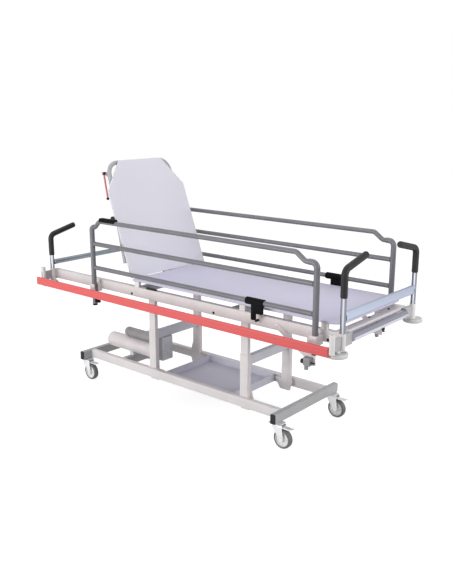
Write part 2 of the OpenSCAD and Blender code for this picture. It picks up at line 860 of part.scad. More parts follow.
// Closed foot end beam with two drain holes, coped to the round end tube, with its two corner blocks
module end_beam() difference() {
  union() {
    translate([beam_inner_x, -frame_width / 2, frame_bottom]) cube([end_beam_l, frame_width, rail_h]);
    both_sides() translate([beam_outer_x - tube_wall, -block_side_y, frame_bottom])
      cube([post_x + block_over - beam_outer_x + tube_wall, block_side_y - block_inner_y, rail_h]);
  }
  translate([beam_inner_x + tube_wall, -frame_width / 2 + tube_wall, frame_bottom + tube_wall])
    cube([end_beam_l - 2 * tube_wall - beam_cope, frame_width - 2 * tube_wall, rail_h - 2 * tube_wall]);
  for (y = [-1, 1])
    translate([beam_inner_x + end_beam_l / 2, y * (block_inner_y - drain_d), frame_bottom - cut])
      cylinder(d = drain_d, h = tube_wall + 2 * cut);
  translate([post_x, 0, end_tube_z]) rod_y(end_tube_d, 2 * block_inner_y);
  at_posts() translate([0, 0, socket_bottom]) cylinder(d = socket_d, h = socket_h);
}

// Two plates and a pin that carry the gas spring's foot on the head inner beam
module gas_clevis() {
  for (side = [-1, 1])
    translate([0, side * (gas_eye_w / 2 + gas_side_gap + gas_plate_t / 2) + gas_plate_t / 2, 0])
      rotate([90, 0, 0]) linear_extrude(gas_plate_t) {
        polygon([[gas_foot_x, gas_foot_z - gas_eye_d / 2], [gas_foot_x, gas_foot_z + gas_eye_d / 2],
                 [gas_foot_x + gas_foot_reach, inner_beam_top],
                 [gas_foot_x + gas_foot_reach, column_head_z]]);
        translate([gas_foot_x, gas_foot_z]) circle(d = gas_eye_d);
      }
  translate([gas_foot_x, 0, gas_foot_z])
    rod_y(gas_pin_d, gas_eye_w + 2 * gas_side_gap + 2 * gas_plate_t);
}

module frame_cross_beams() color(paint) {
  end_beam();
  for (x = [-head_column_x, foot_column_x])
    translate([x, 0, column_head_z]) tube_y(2 * rail_inner_y, column_l, inner_beam_h, tube_wall);
  gas_clevis();
}

module end_tube() color(bright) translate([post_x, 0, end_tube_z]) difference() {
  rod_y(end_tube_d, 2 * block_inner_y);
  rod_y(end_tube_d - 2 * tube_wall, 2 * block_inner_y + 2 * cut);
}

// Post sockets, each with the lug and the pin that carry a buffer disc
module corner_sockets() color(paint) {
  at_posts() difference() {
    translate([0, 0, socket_bottom]) cylinder(d = socket_d, h = socket_h);
    translate([0, 0, socket_bottom + socket_floor_t]) cylinder(d = post_d + 2 * post_gap, h = socket_h);
  }
  for (x = [-1, 1]) both_sides() {
    difference() {
      translate([x * disc_x, -(disc_y + post_y) / 2, socket_bottom])
        round_box(disc_lug_l, disc_lug_w, disc_lug_t, disc_lug_t);
      translate([x * post_x, -post_y, socket_bottom + socket_floor_t])
        cylinder(d = post_d + 2 * post_gap, h = socket_h);
    }
    translate([x * disc_x, -disc_y, socket_bottom - disc_gap - disc_t - disc_head_gap])
      cylinder(d = disc_pin_d, h = disc_gap + disc_t + disc_head_gap + disc_lug_t / 2);
    translate([x * disc_x, -disc_y, socket_bottom - disc_gap - disc_t - disc_head_gap - disc_head_t])
      cylinder(d = disc_head_d, h = disc_head_t);
  }
}

// Round infusion pole socket beside the near post at x, with the web that joins the two and reaches
// out to web_y
module pole_socket(x, y, web_y) {
  difference() {
    union() {
      translate([x, -y, pole_bottom]) cylinder(d = pole_d, h = pole_h);
      translate([x - pole_web_t / 2, -web_y, pole_bottom + pole_web_rise])
        cube([pole_web_t, web_y - post_y, pole_web_h]);
    }
    translate([x, -y, pole_bottom - cut]) cylinder(d = pole_bore_d, h = pole_h + 2 * cut);
    translate([x, -post_y, socket_bottom]) cylinder(d = socket_d, h = socket_h);
  }
}

// Both pole sockets; the foot one also carries the strip's end on a lug
module pole_sockets() color(paint) {
  pole_socket(-post_x, head_pole_y, strip_inner_y);
  pole_socket(post_x, foot_pole_y, foot_pole_y);
  difference() {
    translate([post_x - strip_lug_inset - strip_lug_l, -strip_inner_y, pole_bottom])
      cube([strip_lug_l, strip_lug_w, strip_lug_h]);
    translate([post_x, -foot_pole_y, pole_bottom - cut]) cylinder(d = pole_bore_d, h = pole_h);
  }
}

module buffer_strip() color(red)
  translate([-post_x - strip_head_over, -strip_inner_y - strip_t, strip_bottom])
    cube([2 * post_x + strip_head_over - pole_d / 2 - strip_end_gap, strip_t, strip_h]);

// C-shaped guide on the frame rail round one upright, open towards the middle of the side rail
module rail_guide(x, toward) {
  outer_l = upright_d + 2 * guide_wall;
  outer_y = side_rail_y + upright_d / 2 + guide_wall;
  difference() {
    translate([x - outer_l / 2, -outer_y, guide_bottom_z])
      cube([outer_l, outer_y - frame_width / 2, guide_h]);
    translate([x, -side_rail_y, guide_bottom_z - cut])
      cylinder(d = upright_d + 2 * guide_gap, h = guide_h + 2 * cut);
    translate([x - (toward < 0 ? outer_l : 0), -side_rail_y - guide_mouth / 2, guide_bottom_z - cut])
      cube([outer_l, guide_mouth, guide_h + 2 * cut]);
  }
}

module rail_guides() color(paint) both_sides() {
  rail_guide(-head_upright_x, 1);
  rail_guide(foot_upright_x, -1);
}

module rail_stays() color(paint) both_sides() {
  plate_y = -frame_width / 2 - stay_t;
  run = stay_foot_x - stay_head_x;
  fall = frame_bottom + stay_rise - bracket_z - bracket_h / 2;
  slope = atan2(fall, run);
  translate([stay_head_x, plate_y + stay_t, frame_bottom + stay_rise]) rotate([0, slope, 0])
    translate([-stay_w / 2, -stay_t, -stay_w / 2]) cube([norm([run, fall]) + stay_w, stay_t, stay_w]);
  translate([bracket_x, plate_y, bracket_z])
    cube([bracket_l, stay_t, frame_bottom + stay_rise - bracket_z]);
  difference() {
    translate([bracket_x, plate_y - bracket_w, bracket_z]) cube([bracket_l, bracket_w, bracket_h]);
    translate([bracket_x - cut, plate_y - bracket_w / 2, plunger_z])
      rod_x(plunger_d + 2 * pin_gap, bracket_l + 2 * cut);
  }
  translate([bracket_x + bracket_stub_d / 2, plate_y - bracket_w / 2, bracket_z - bracket_stub_l])
    cylinder(d = bracket_stub_d, h = bracket_stub_l);
}

module frame_fasteners() color(black) {
  both_sides() for (x = plug_x)
    translate([x, -frame_width / 2 - plug_t / 2, frame_bottom + plug_rise]) rod_y(plug_d, plug_t);
  translate([clamp_lever_x - clamp_lever_l / 2, -frame_width / 2, frame_top])
    cube([clamp_lever_l, clamp_lever_t, clamp_lever_t]);
  for (share = bolt_spots_share)
    translate([beam_inner_x + bolt_inset, share * frame_width, frame_top]) cylinder(d = bolt_d, h = bolt_t);
  both_sides() translate([keeper_x, -frame_width / 2 - keeper_l / 2, end_tube_z])
    rod_y(keeper_d, keeper_l);
  both_sides() translate([-post_x - rail_head_over - cap_flange_t, -frame_width / 2, frame_bottom])
    cube([cap_flange_t, rail_w, rail_h]);
  difference() {
    translate([post_x, knob_y_share * frame_width, end_tube_z - end_tube_d / 2 - foot_knob_l])
      cylinder(d = foot_knob_d, h = foot_knob_l + foot_knob_drop);
    translate([post_x, 0, end_tube_z]) rod_y(end_tube_d, 2 * block_inner_y);
  }
}

module seat_board() color(board_grey) {
  edge_x = -hinge_x + barrel_r + barrel_gap;
  translate([edge_x, -board_w / 2, board_z])
    cube([seat_foot_x - seat_corner_r - edge_x, board_w, board_t]);
  translate([edge_x, -board_w / 2 + seat_corner_r, board_z])
    cube([seat_foot_x - edge_x, board_w - 2 * seat_corner_r, board_t]);
  for (y = [-1, 1]) translate([seat_foot_x - seat_corner_r, y * (board_w / 2 - seat_corner_r), board_z])
    cylinder(r = seat_corner_r, h = board_t);
}

module board_supports() color(paint) both_sides() for (x = support_x)
  translate([x - support_l / 2, -rail_y - support_w / 2, frame_top])
    cube([support_l, support_w, board_z - frame_top]);

// Knuckles of one hinge: the middle one belongs to the backrest and the outer two to the seat
module knuckles(outer) {
  middle = hinge_w - 2 * hinge_knuckle_w;
  for (s = outer ? [-1, 1] : [0]) {
    w = outer ? hinge_knuckle_w : middle - 2 * slide_gap;
    translate([0, s * (hinge_w - hinge_knuckle_w) / 2, 0]) {
      rod_y(2 * barrel_r, w);
      translate([outer ? 0 : -barrel_r, -w / 2, -barrel_r - hinge_leaf_t])
        cube([barrel_r, w, barrel_r + hinge_leaf_t - hinge_pin_d / 2]);
    }
  }
}

module seat_hinges() color(shade_paint)
  for (share = hinge_spots_share) translate([-hinge_x, share * board_w, hinge_z]) {
    knuckles(true);
    translate([barrel_r, -hinge_w / 2, -barrel_r - hinge_leaf_t])
      cube([hinge_leaf_l - barrel_r, hinge_w, hinge_leaf_t]);
    rod_y(hinge_pin_d, hinge_w);
  }

// Puts the children, drawn lying flat from the hinge axis towards -X, at the backrest's angle
module on_backrest() {
  translate([-hinge_x, 0, hinge_z]) rotate([0, back_angle, 0]) children();
}

module backrest_board() color(board_grey) on_backrest()
  translate([0, 0, -board_t / 2]) linear_extrude(board_t)
    polygon([[-back_start, -board_w / 2], [-back_full_l, -board_w / 2], [-back_l, -back_top_w / 2],
             [-back_l, back_top_w / 2], [-back_full_l, board_w / 2], [-back_start, board_w / 2]]);

// Half the distance between the hoop's legs at a given length from the hinge axis
function hoop_half(l) =
  hoop_foot_half + (hoop_top_half - hoop_foot_half) * (l - hoop_foot_l) / (hoop_top_l - hoop_foot_l);

// Two plates with open rings in which the gas spring's upper pin floats
module gas_rings() {
  for (side = [-1, 1])
    translate([-gas_arm_l, side * (gas_eye_w / 2 + gas_side_gap + gas_plate_t / 2), 0]) difference() {
      union() {
        translate([0, 0, gas_arm_z]) rod_y(gas_ring_d, gas_plate_t);
        translate([-hoop_d / 2, -gas_plate_t / 2, gas_arm_z])
          cube([hoop_d, gas_plate_t, hoop_z - gas_arm_z]);
      }
      translate([0, 0, gas_arm_z]) rod_y(gas_ring_bore_d, gas_plate_t + 2 * cut);
      translate([0, 0, hoop_z]) rod_y(hoop_d, gas_plate_t + 2 * cut);
    }
}

// Ear on the hoop's near leg and the pivot pin of the release lever
module lever_ear() {
  ear_y = lever_y + lever_barrel_w / 2 + lever_gap + lever_ear_t;
  pin_l = lever_barrel_w + 2 * lever_gap + lever_ear_t;
  translate([0, ear_y, 0]) rotate([90, 0, 0]) linear_extrude(lever_ear_t) {
    polygon([[-lever_top_l, lever_z - lever_pin_d], [-lever_top_l - lever_pin_d, lever_z],
             [-lever_top_l + lever_pin_d, hoop_z], [-lever_top_l + lever_ear_l, hoop_z]]);
    translate([-lever_top_l, lever_z]) circle(d = lever_barrel_d);
  }
  translate([-lever_top_l, ear_y - pin_l / 2, lever_z]) rod_y(lever_pin_d, pin_l);
  translate([-lever_top_l, ear_y - pin_l - lever_ear_t / 2, lever_z])
    rod_y(2 * lever_pin_d, lever_ear_t);
}

module backrest_frame() color(rail_grey) on_backrest() {
  hoop_path = [[-hoop_foot_l, -hoop_foot_half], [-hoop_top_l, -hoop_top_half],
               [-hoop_top_l, hoop_top_half], [-hoop_foot_l, hoop_foot_half]];
  hoop_radii = [0, hoop_bend_r, hoop_bend_r, 0];
  difference() {
    union() {
      translate([0, 0, hoop_z]) bent_rod(hoop_path, hoop_radii, hoop_d);
      translate([-gas_arm_l, 0, hoop_z]) rod_y(hoop_d, 2 * hoop_half(gas_arm_l));
      both_sides() {
        for (share = hoop_pad_shares) {
          pad_y = -hoop_half(share * back_l) - hoop_pad_w / 2;
          translate([-share * back_l - hoop_pad_l / 2, pad_y, hoop_z])
            cube([hoop_pad_l, hoop_pad_w, -board_t / 2 - hoop_z]);
        }
        translate([-hoop_top_l - hoop_pad_w / 2, -hoop_pad_top_y - hoop_pad_l / 2, hoop_z])
          cube([hoop_pad_w, hoop_pad_l, -board_t / 2 - hoop_z]);
      }
      lever_ear();
    }
    translate([0, 0, hoop_z]) bent_rod(hoop_path, hoop_radii, hoop_d - 2 * hoop_wall, cut);
  }
  gas_rings();
  for (share = hinge_spots_share) translate([0, share * board_w, 0]) difference() {
    union() {
      knuckles(false);
      translate([-hinge_leaf_l, -hinge_w / 2 + hinge_knuckle_w + slide_gap, -barrel_r - hinge_leaf_t])
        cube([hinge_leaf_l - barrel_r, hinge_w - 2 * hinge_knuckle_w - 2 * slide_gap, hinge_leaf_t]);
    }
    rod_y(hinge_pin_d + 2 * pin_gap, hinge_w + 2 * cut);
  }
}

// Path of a side rail's top bar in the XZ plane, from the head upright to the foot upright
top_bar_path = [
  [-head_upright_x, elbow_z - bar_start_drop], [-head_upright_x, elbow_z],
  [-head_upright_x + head_step_l, elbow_z], [-head_upright_x + head_slope_l, top_bar_z],
  [foot_upright_x - foot_slope_l, top_bar_z], [foot_upright_x - foot_step_l, elbow_z],
  [foot_upright_x, elbow_z], [foot_upright_x, elbow_z - bar_start_drop]
];
top_bar_radii = [
  0, head_elbow_r, step_bend_r, slope_bend_r, slope_bend_r, slope_bend_r, foot_elbow_r, 0
];

// Uprights with their elbows, bars and top bar of one rail, each taken in by inset all round
module rail_tubes(inset) {
  over = inset > 0 ? cut : 0;
  head_path = [[-head_upright_x, head_upright_foot_z - over], [-head_upright_x, elbow_z],
               [-head_upright_x + head_elbow_l - inset, elbow_z]];
  foot_path = [[foot_upright_x, foot_upright_foot_z - over], [foot_upright_x, elbow_z],
               [foot_upright_x - foot_elbow_l + inset, elbow_z]];
  rotate([90, 0, 0]) {
    bent_rod(head_path, [0, head_elbow_r, 0], upright_d - 2 * inset);
    bent_rod(foot_path, [0, foot_elbow_r, 0], upright_d - 2 * inset);
    bent_rod(top_bar_path, top_bar_radii, bar_d - 2 * inset);
  }
  for (z = [low_bar_z, mid_bar_z])
    translate([-head_upright_x, 0, z]) rod_x(bar_d - 2 * inset, head_upright_x + foot_upright_x);
}

module side_rail_near() color(rail_grey) translate([0, -side_rail_y, 0]) difference() {
  rail_tubes(0);
  rail_tubes(rail_tube_wall);
}

module side_rail_far() mirror([0, 1, 0]) side_rail_near();

// Cap in the open foot of an upright
module foot_cap(x, z) {
  translate([x, -side_rail_y, z - foot_cap_t]) cylinder(d = upright_d, h = foot_cap_t);
  translate([x, -side_rail_y, z])
    cylinder(d = upright_d - 2 * rail_tube_wall - 2 * pin_gap, h = foot_cap_plug);
}

// Foot caps of both uprights and the lug on the head upright's foot
module rail_foot_trim() {
  foot_cap(-head_upright_x, head_upright_foot_z);
  foot_cap(foot_upright_x, foot_upright_foot_z);
  difference() {
    translate([-head_upright_x, -side_rail_y - foot_lug_w / 2, head_upright_foot_z + foot_lug_rise])
      cube([foot_lug_l, foot_lug_w, foot_lug_h]);
    translate([-head_upright_x, -side_rail_y, head_upright_foot_z])
      cylinder(d = upright_d, h = 2 * foot_lug_h);
  }
}

module rail_trim_near() color(black) {
  rail_foot_trim();
  difference() {
    translate([-pad_head_x, -side_rail_y - pad_w / 2, top_bar_z])
      cube([pad_l, pad_w, bar_d / 2 + pad_h]);
    translate([-pad_head_x - cut, -side_rail_y, top_bar_z]) rod_x(bar_d, pad_l + 2 * cut);
  }
}

module rail_trim_far() color(black) mirror([0, 1, 0]) rail_foot_trim();

module rail_latch_near() color(black) translate([latch_x, -side_rail_y, low_bar_z]) difference() {
  union() {
    translate([-latch_l / 2, 0, 0]) rod_x(bar_d + 2 * latch_wall, latch_l);
    translate([latch_web_x - latch_x, -latch_t / 2, -latch_web_drop])
      cube([latch_web_l, latch_t, latch_web_drop]);
    translate([latch_web_x - latch_x, -latch_t / 2, -latch_long_drop])
      cube([latch_long_w, latch_t, latch_long_drop]);
  }
  translate([-latch_l / 2 - cut, 0, 0]) rod_x(bar_d + 2 * latch_gap, latch_l + 2 * cut);
}

module rail_latch_far() mirror([0, 1, 0]) rail_latch_near();

module lock_plunger_near() color(black)
  translate([bracket_x, -frame_width / 2 - stay_t - bracket_w / 2, plunger_z]) {
    translate([-plunger_pull, 0, 0]) rod_x(plunger_d, bracket_l + plunger_pull + plunger_tip);
    translate([-slide_gap - plunger_knob_l, 0, 0]) rod_x(plunger_knob_d, plunger_knob_l);
  }

module lock_plunger_far() mirror([0, 1, 0]) lock_plunger_near();

// Path of one handle post in the YZ plane, from its foot to its free end, for a bend at height bend_z
function post_path(bend_z) = [
  [post_y, post_bottom], [post_y, bend_z], [post_y - grip_reach, bend_z + grip_lean_rise]
];

// Turns a path drawn in the XY plane up into the YZ plane
module in_yz() {
  rotate([90, 0, 90]) children();
}

module handle_posts(bend_z) {
  path = post_path(bend_z);
  radii = [0, grip_bend_r, 0];
  both_sides() in_yz() difference() {
    bent_rod(path, radii, post_d);
    bent_rod(path, radii, post_d - 2 * post_wall, cut);
  }
}

module handle_grips(bend_z) {
  path = post_path(bend_z);
  grip_path = [[post_y, bend_z - grip_upright_l], path[1], path[2]];
  radii = [0, grip_bend_r, 0];
  both_sides() in_yz() difference() {
    bent_rod(grip_path, radii, grip_d, grip_cap_t);
    bent_rod(path, radii, post_d);
  }
}

// Flat-sided oval bar along Y, centred on the origin
module oval_bar(w, h, l) {
  for (s = [-1, 1]) translate([0, 0, s * (h - w) / 2]) rod_y(w, l);
  translate([-w / 2, -l / 2, -(h - w) / 2]) cube([w, l, h - w]);
}

module handle_frame_foot() color(bright) translate([post_x, 0, 0]) {
  handle_posts(frame_top + foot_bend_rise);
  difference() {
    translate([0, 0, foot_bar_z]) difference() {
      oval_bar(foot_bar_w, foot_bar_h, 2 * post_y);
      oval_bar(foot_bar_w - 2 * post_wall, foot_bar_h - 2 * post_wall, 2 * post_y + 2 * cut);
    }
    for (y = [-post_y, post_y])
      translate([0, y, post_bottom]) cylinder(d = post_d, h = foot_bend_rise);
  }
}

module handle_frame_head() color(bright) translate([-post_x, 0, 0]) {
  handle_posts(frame_top + head_bend_rise);
  difference() {
    translate([0, 0, head_bar_z]) rod_y(head_bar_d, 2 * post_y);
    translate([0, 0, head_bar_z]) rod_y(head_bar_d - 2 * post_wall, 2 * post_y + 2 * cut);
    for (y = [-post_y, post_y])
      translate([0, y, post_bottom]) cylinder(d = post_d, h = head_bend_rise);
  }
}

module handle_grips_foot() color(black)
  translate([post_x, 0, 0]) handle_grips(frame_top + foot_bend_rise);

module handle_grips_head() color(black)
  translate([-post_x, 0, 0]) handle_grips(frame_top + head_bend_rise);

module buffer_disc(x, y) {
  translate([x, y, socket_bottom - disc_gap - disc_t]) difference() {
    rotate_extrude() {
      square([disc_d / 2 - disc_t / 4, disc_t]);
      translate([0, disc_t / 4]) square([disc_d / 2, disc_t / 2]);
      for (z = [disc_t / 4, disc_t * 3 / 4])
        translate([disc_d / 2 - disc_t / 4, z]) circle(r = disc_t / 4);
    }
    translate([0, 0, -cut]) cylinder(d = disc_pin_d + 2 * disc_pin_gap, h = disc_t + 2 * cut);
  }
}

module buffer_disc_head_near() color(paint) buffer_disc(-disc_x, -disc_y);
module buffer_disc_head_far() color(paint) buffer_disc(-disc_x, disc_y);
module buffer_disc_foot_near() color(paint) buffer_disc(disc_x, -disc_y);
module buffer_disc_foot_far() color(paint) buffer_disc(disc_x, disc_y);

module release_lever() color(red) on_backrest() {
  drop = lever_z - lever_end_z;
  run = lever_top_l - lever_end_l;
  difference() {
    union() {
      translate([-lever_top_l, lever_y, lever_z]) {
        rod_y(lever_barrel_d, lever_barrel_w);
        rotate([0, atan2(drop, run), 0]) rod_x(lever_d, norm([drop, run]));
      }
      translate([-lever_end_l, lever_y, lever_end_z]) sphere(d = lever_ball_d);
    }
    translate([-lever_top_l, lever_y, lever_z])
      rod_y(lever_pin_d + 2 * pin_gap, lever_barrel_w + 2 * cut);
  }
}

// Place of the gas spring's upper pin in the XZ plane
gas_top = [
  -hinge_x - gas_arm_l * cos(back_angle) + gas_arm_z * sin(back_angle),
  hinge_z + gas_arm_l * sin(back_angle) + gas_arm_z * cos(back_angle)
];
// Angle of the gas spring above the horizontal, seen towards the head end
gas_slope = atan2(gas_top[1] - gas_foot_z, gas_foot_x - gas_top[0]);

module gas_cylinder() color(black) translate([gas_foot_x, 0, gas_foot_z]) difference() {
  union() {
    rod_y(gas_eye_d, gas_eye_w);
    rotate([0, gas_slope + 180, 0]) {
      rod_x(gas_neck_d, gas_tube_floor);
      translate([gas_neck_l, 0, 0]) rod_x(gas_tube_d, gas_tube_end - gas_neck_l);
    }
  }
  rod_y(gas_pin_d + 2 * pin_gap, gas_eye_w + 2 * cut);
  rotate([0, gas_slope + 180, 0]) {
    translate([gas_tube_floor, 0, 0])
      rod_x(gas_tube_d - 2 * gas_tube_wall, gas_tube_end - gas_tube_gland - gas_tube_floor);
    translate([gas_tube_floor, 0, 0]) rod_x(gas_rod_d + 2 * gas_rod_gap, gas_tube_end);
  }
}

module gas_rod() color(bright) translate([gas_top[0], 0, gas_top[1]]) {
  rod_y(gas_eye_d, gas_eye_w);
  rod_y(gas_pin_d, 2 * gas_pin_half);
  for (side = [-1, 1])
    translate([0, side * (gas_pin_half + gas_washer_t / 2), 0]) rod_y(gas_washer_d, gas_washer_t);
  rotate([0, gas_slope, 0]) {
    rod_x(gas_rod_d, gas_stem_l);
    translate([gas_stem_l - gas_piston_l, 0, 0])
      rod_x(gas_tube_d - 2 * gas_tube_wall - 2 * gas_piston_gap, gas_piston_l);
  }
}

base_side_tubes();
base_cross_beams();
base_end_caps();
load_tray();
outer_columns();
column_ties();
column_collars();
ram_cylinders();
pump_tank();
pump_motor();
pump_block();
castor_plates();
castor_fork_head_near();
castor_fork_head_far();
castor_fork_foot_near();
castor_fork_foot_far();
castor_wheel_head_near();
castor_wheel_head_far();
castor_wheel_foot_near();
castor_wheel_foot_far();
brake_pedal_head_near();
brake_pedal_head_far();
brake_pedal_foot_near();
brake_pedal_foot_far();
inner_columns();
column_shoes();
ram_rods();
frame_rails();
frame_cross_beams();
end_tube();
corner_sockets();
pole_sockets();
buffer_strip();
frame_fasteners();
rail_guides();
rail_stays();
seat_board();
board_supports();
seat_hinges();
buffer_disc_head_near();
buffer_disc_head_far();
buffer_disc_foot_near();
buffer_disc_foot_far();
handle_frame_head();
handle_frame_foot();
handle_grips_head();
handle_grips_foot();
side_rail_near();
side_rail_far();
rail_trim_near();
rail_trim_far();
rail_latch_near();
rail_latch_far();
lock_plunger_near();
lock_plunger_far();
backrest_board();
backrest_frame();
release_lever();
gas_cylinder();
gas_rod();
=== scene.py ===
"""Looks of a height-adjustable patient transport trolley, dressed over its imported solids."""
from math import asin, copysign, cos, degrees, pi, radians, sin, tan

import bmesh
import bpy
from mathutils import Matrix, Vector


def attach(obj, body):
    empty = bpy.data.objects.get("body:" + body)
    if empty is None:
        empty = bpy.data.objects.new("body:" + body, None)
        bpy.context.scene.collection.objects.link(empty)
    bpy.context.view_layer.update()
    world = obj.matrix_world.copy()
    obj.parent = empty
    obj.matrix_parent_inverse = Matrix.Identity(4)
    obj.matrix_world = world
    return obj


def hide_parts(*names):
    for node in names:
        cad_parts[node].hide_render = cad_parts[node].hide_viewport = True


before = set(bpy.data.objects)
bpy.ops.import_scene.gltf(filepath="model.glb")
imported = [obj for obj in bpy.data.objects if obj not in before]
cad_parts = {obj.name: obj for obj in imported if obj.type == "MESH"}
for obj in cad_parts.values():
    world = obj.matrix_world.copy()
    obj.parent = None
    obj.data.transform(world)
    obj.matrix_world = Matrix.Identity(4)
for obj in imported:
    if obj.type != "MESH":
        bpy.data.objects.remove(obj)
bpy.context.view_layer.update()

# Camera and studio. The viewpoint is the photograph's: a little above the boards, off the near corner
# of the foot end. Over a pale floor, a broad lamp on the near side, one beyond the foot end, a weaker one
# overhead and a soft sky light the trolley; sky and floor are white to the camera and in reflections.
CAMERA_AT = (2.562, -2.912, 1.615)
CAMERA_TURN = (75.74, 0, 40.45)
CAMERA_LENS, CAMERA_REACH = 45.12, 60
WHITE = (1, 1, 1)
SKY_TINT, SKY_STRENGTH = (0.98, 0.99, 1), 0.5
FLOOR_GREY, FLOOR_GLOW, FLOOR_HALF = (0.5, 0.5, 0.5), 0.76, 14
# Name, place, target, size in metres and watts of each lamp.
LAMPS = (("near_lamp", (-1.2, -4.6, 1.3), (0, 0, 0.6), 3.2, 152),
         ("foot_lamp", (4.2, 0.6, 1.9), (-0.4, 0, 0.5), 2.2, 80),
         ("top_lamp", (-0.3, 0.4, 4.2), (0, 0, 0.6), 3.0, 40))


def new_object(name, data):
    """Object with that data in the scene's collection."""
    obj = bpy.data.objects.new(name, data)
    bpy.context.scene.collection.objects.link(obj)
    return obj


def area_lamp(name, at, towards, size, watts):
    """Square lamp at a point, facing another."""
    data = bpy.data.lights.new(name, "AREA")
    data.size = size
    data.energy = watts
    lamp = new_object(name, data)
    lamp.location = at
    lamp.rotation_euler = (Vector(towards) - Vector(at)).to_track_quat("-Z", "Y").to_euler()


def new_material(name):
    """Empty node material: its node tree and its output node."""
    material = bpy.data.materials.new(name)
    material.use_nodes = True
    material.node_tree.nodes.clear()
    return material, material.node_tree, material.node_tree.nodes.new("ShaderNodeOutputMaterial")


def add_math(tree, operation, first, second):
    """Math node of two values, each a number or a socket."""
    node = tree.nodes.new("ShaderNodeMath")
    node.operation = operation
    for socket, value in zip(node.inputs, (first, second)):
        if isinstance(value, (int, float)):
            socket.default_value = value
        else:
            tree.links.new(value, socket)
    return node.outputs[0]


def add_shader(tree, kind, colour, strength=None):
    """Shader node of one colour: its output."""
    node = tree.nodes.new(kind)
    node.inputs["Color"].default_value = (*colour, 1)
    if strength is not None:
        node.inputs["Strength"].default_value = strength
    return node.outputs[0]


def mix_where_seen(tree, rays, unseen, seen, out):
    """One shader for those kinds of ray and another for all other light."""
    path = tree.nodes.new("ShaderNodeLightPath")
    mask = path.outputs[rays[0]]
    for ray in rays[1:]:
        mask = add_math(tree, "MAXIMUM", mask, path.outputs[ray])
    mix = tree.nodes.new("ShaderNodeMixShader")
    for value, socket in zip((mask, unseen, seen), mix.inputs):
        tree.links.new(value, socket)
    tree.links.new(mix.outputs[0], out.inputs["Surface"])


camera_data = bpy.data.cameras.new("photo_camera")
camera_data.lens = CAMERA_LENS
camera_data.clip_end = CAMERA_REACH
camera = new_object("photo_camera", camera_data)
camera.location = CAMERA_AT
camera.rotation_euler = [radians(a) for a in CAMERA_TURN]
bpy.context.scene.camera = camera
bpy.context.scene.view_settings.view_transform = "Standard"
for lamp_values in LAMPS:
    area_lamp(*lamp_values)

world = bpy.data.worlds.new("studio_sky")
bpy.context.scene.world = world
world.use_nodes = True
sky = world.node_tree
sky.nodes.clear()
mix_where_seen(sky, ("Is Camera Ray", "Is Glossy Ray", "Is Transmission Ray"),
               add_shader(sky, "ShaderNodeBackground", SKY_TINT, SKY_STRENGTH),
               add_shader(sky, "ShaderNodeBackground", WHITE, 1), sky.nodes.new("ShaderNodeOutputWorld"))

floor_material, floor_tree, floor_out = new_material("pale_floor")
floor_paint = add_shader(floor_tree, "ShaderNodeBsdfDiffuse", FLOOR_GREY)
floor_lit = floor_tree.nodes.new("ShaderNodeAddShader")
floor_tree.links.new(floor_paint, floor_lit.inputs[0])
floor_tree.links.new(add_shader(floor_tree, "ShaderNodeEmission", WHITE, FLOOR_GLOW), floor_lit.inputs[1])
mix_where_seen(floor_tree, ("Is Camera Ray", "Is Glossy Ray"), floor_paint, floor_lit.outputs[0], floor_out)
floor_mesh = bpy.data.meshes.new("pale_floor")
floor_mesh.from_pydata([(x * FLOOR_HALF, y * FLOOR_HALF, 0) for x, y in ((-1, -1), (1, -1), (1, 1), (-1, 1))],
                       [], [(0, 1, 2, 3)])
floor_mesh.materials.append(floor_material)
new_object("pale_floor", floor_mesh)

# Base frame: rectangular steel tubes welded into a ladder, 50 by 30 mm, with three cross members. The
# whole steelwork is powder coated in a warm light grey; the cross members take a darker copy of that coat
# as painted shade. Moulded black caps close the cross beams.
MM = 0.001
SHARP_ANGLE = 35
COAT_LIGHT = (0.735, 0.695, 0.695), (0.66, 0.625, 0.625)
# Darker copy of the frame coat: painted shade for the cross members, the frame's inner beams and end blocks,
# and the pole socket webs.
CROSS_COAT_PAINTED_SHADE = (0.42, 0.42, 0.425), (0.385, 0.385, 0.39)
COAT_ROUGHNESS, GRAIN_DEPTH = 0.42, 0.0004
CAP_BLACK = (0.012, 0.012, 0.013), (0.028, 0.028, 0.03)
TUBE_CORNER, CORNER_STEPS, TUBE_WALL, TUBE_HALF = 4, 4, 2.5, 15
BEAD_RADIUS, BEAD_RIPPLE, BEAD_PITCH = 2.2, 0.16, 1.5
BASE_LOW, BASE_HIGH = 125, 175
BASE_HEAD_X, BASE_FOOT_X, BASE_MID_X = -827, 613, -553
BASE_BEAM_HALF, SIDE_OUT_Y, SIDE_IN_Y = 276.5, 215, 185
BASE_BEAD = [(SIDE_OUT_Y - 1, BASE_LOW + 2), (SIDE_OUT_Y - 1, BASE_HIGH - 2), (SIDE_IN_Y + 1, BASE_HIGH - 2),
             (SIDE_IN_Y + 1, BASE_LOW + 2)]


def new_group(name, inputs, outputs):
    """Shader node group with named sockets: its tree, input node and output node."""
    tree = bpy.data.node_groups.new(name, "ShaderNodeTree")
    for label, kind, value in inputs:
        tree.interface.new_socket(label, in_out="INPUT", socket_type=kind).default_value = value
    for label, kind in outputs:
        tree.interface.new_socket(label, in_out="OUTPUT", socket_type=kind)
    return tree, tree.nodes.new("NodeGroupInput"), tree.nodes.new("NodeGroupOutput")


def add_noise(tree, place, scale, detail=2.0, scale_from=None):
    """Noise over the object's own coordinates, with an optional linked scale."""
    noise = tree.nodes.new("ShaderNodeTexNoise")
    noise.inputs["Scale"].default_value = scale
    noise.inputs["Detail"].default_value = detail
    tree.links.new(place, noise.inputs["Vector"])
    if scale_from is not None:
        tree.links.new(scale_from, noise.inputs["Scale"])
    return noise.outputs["Fac"]


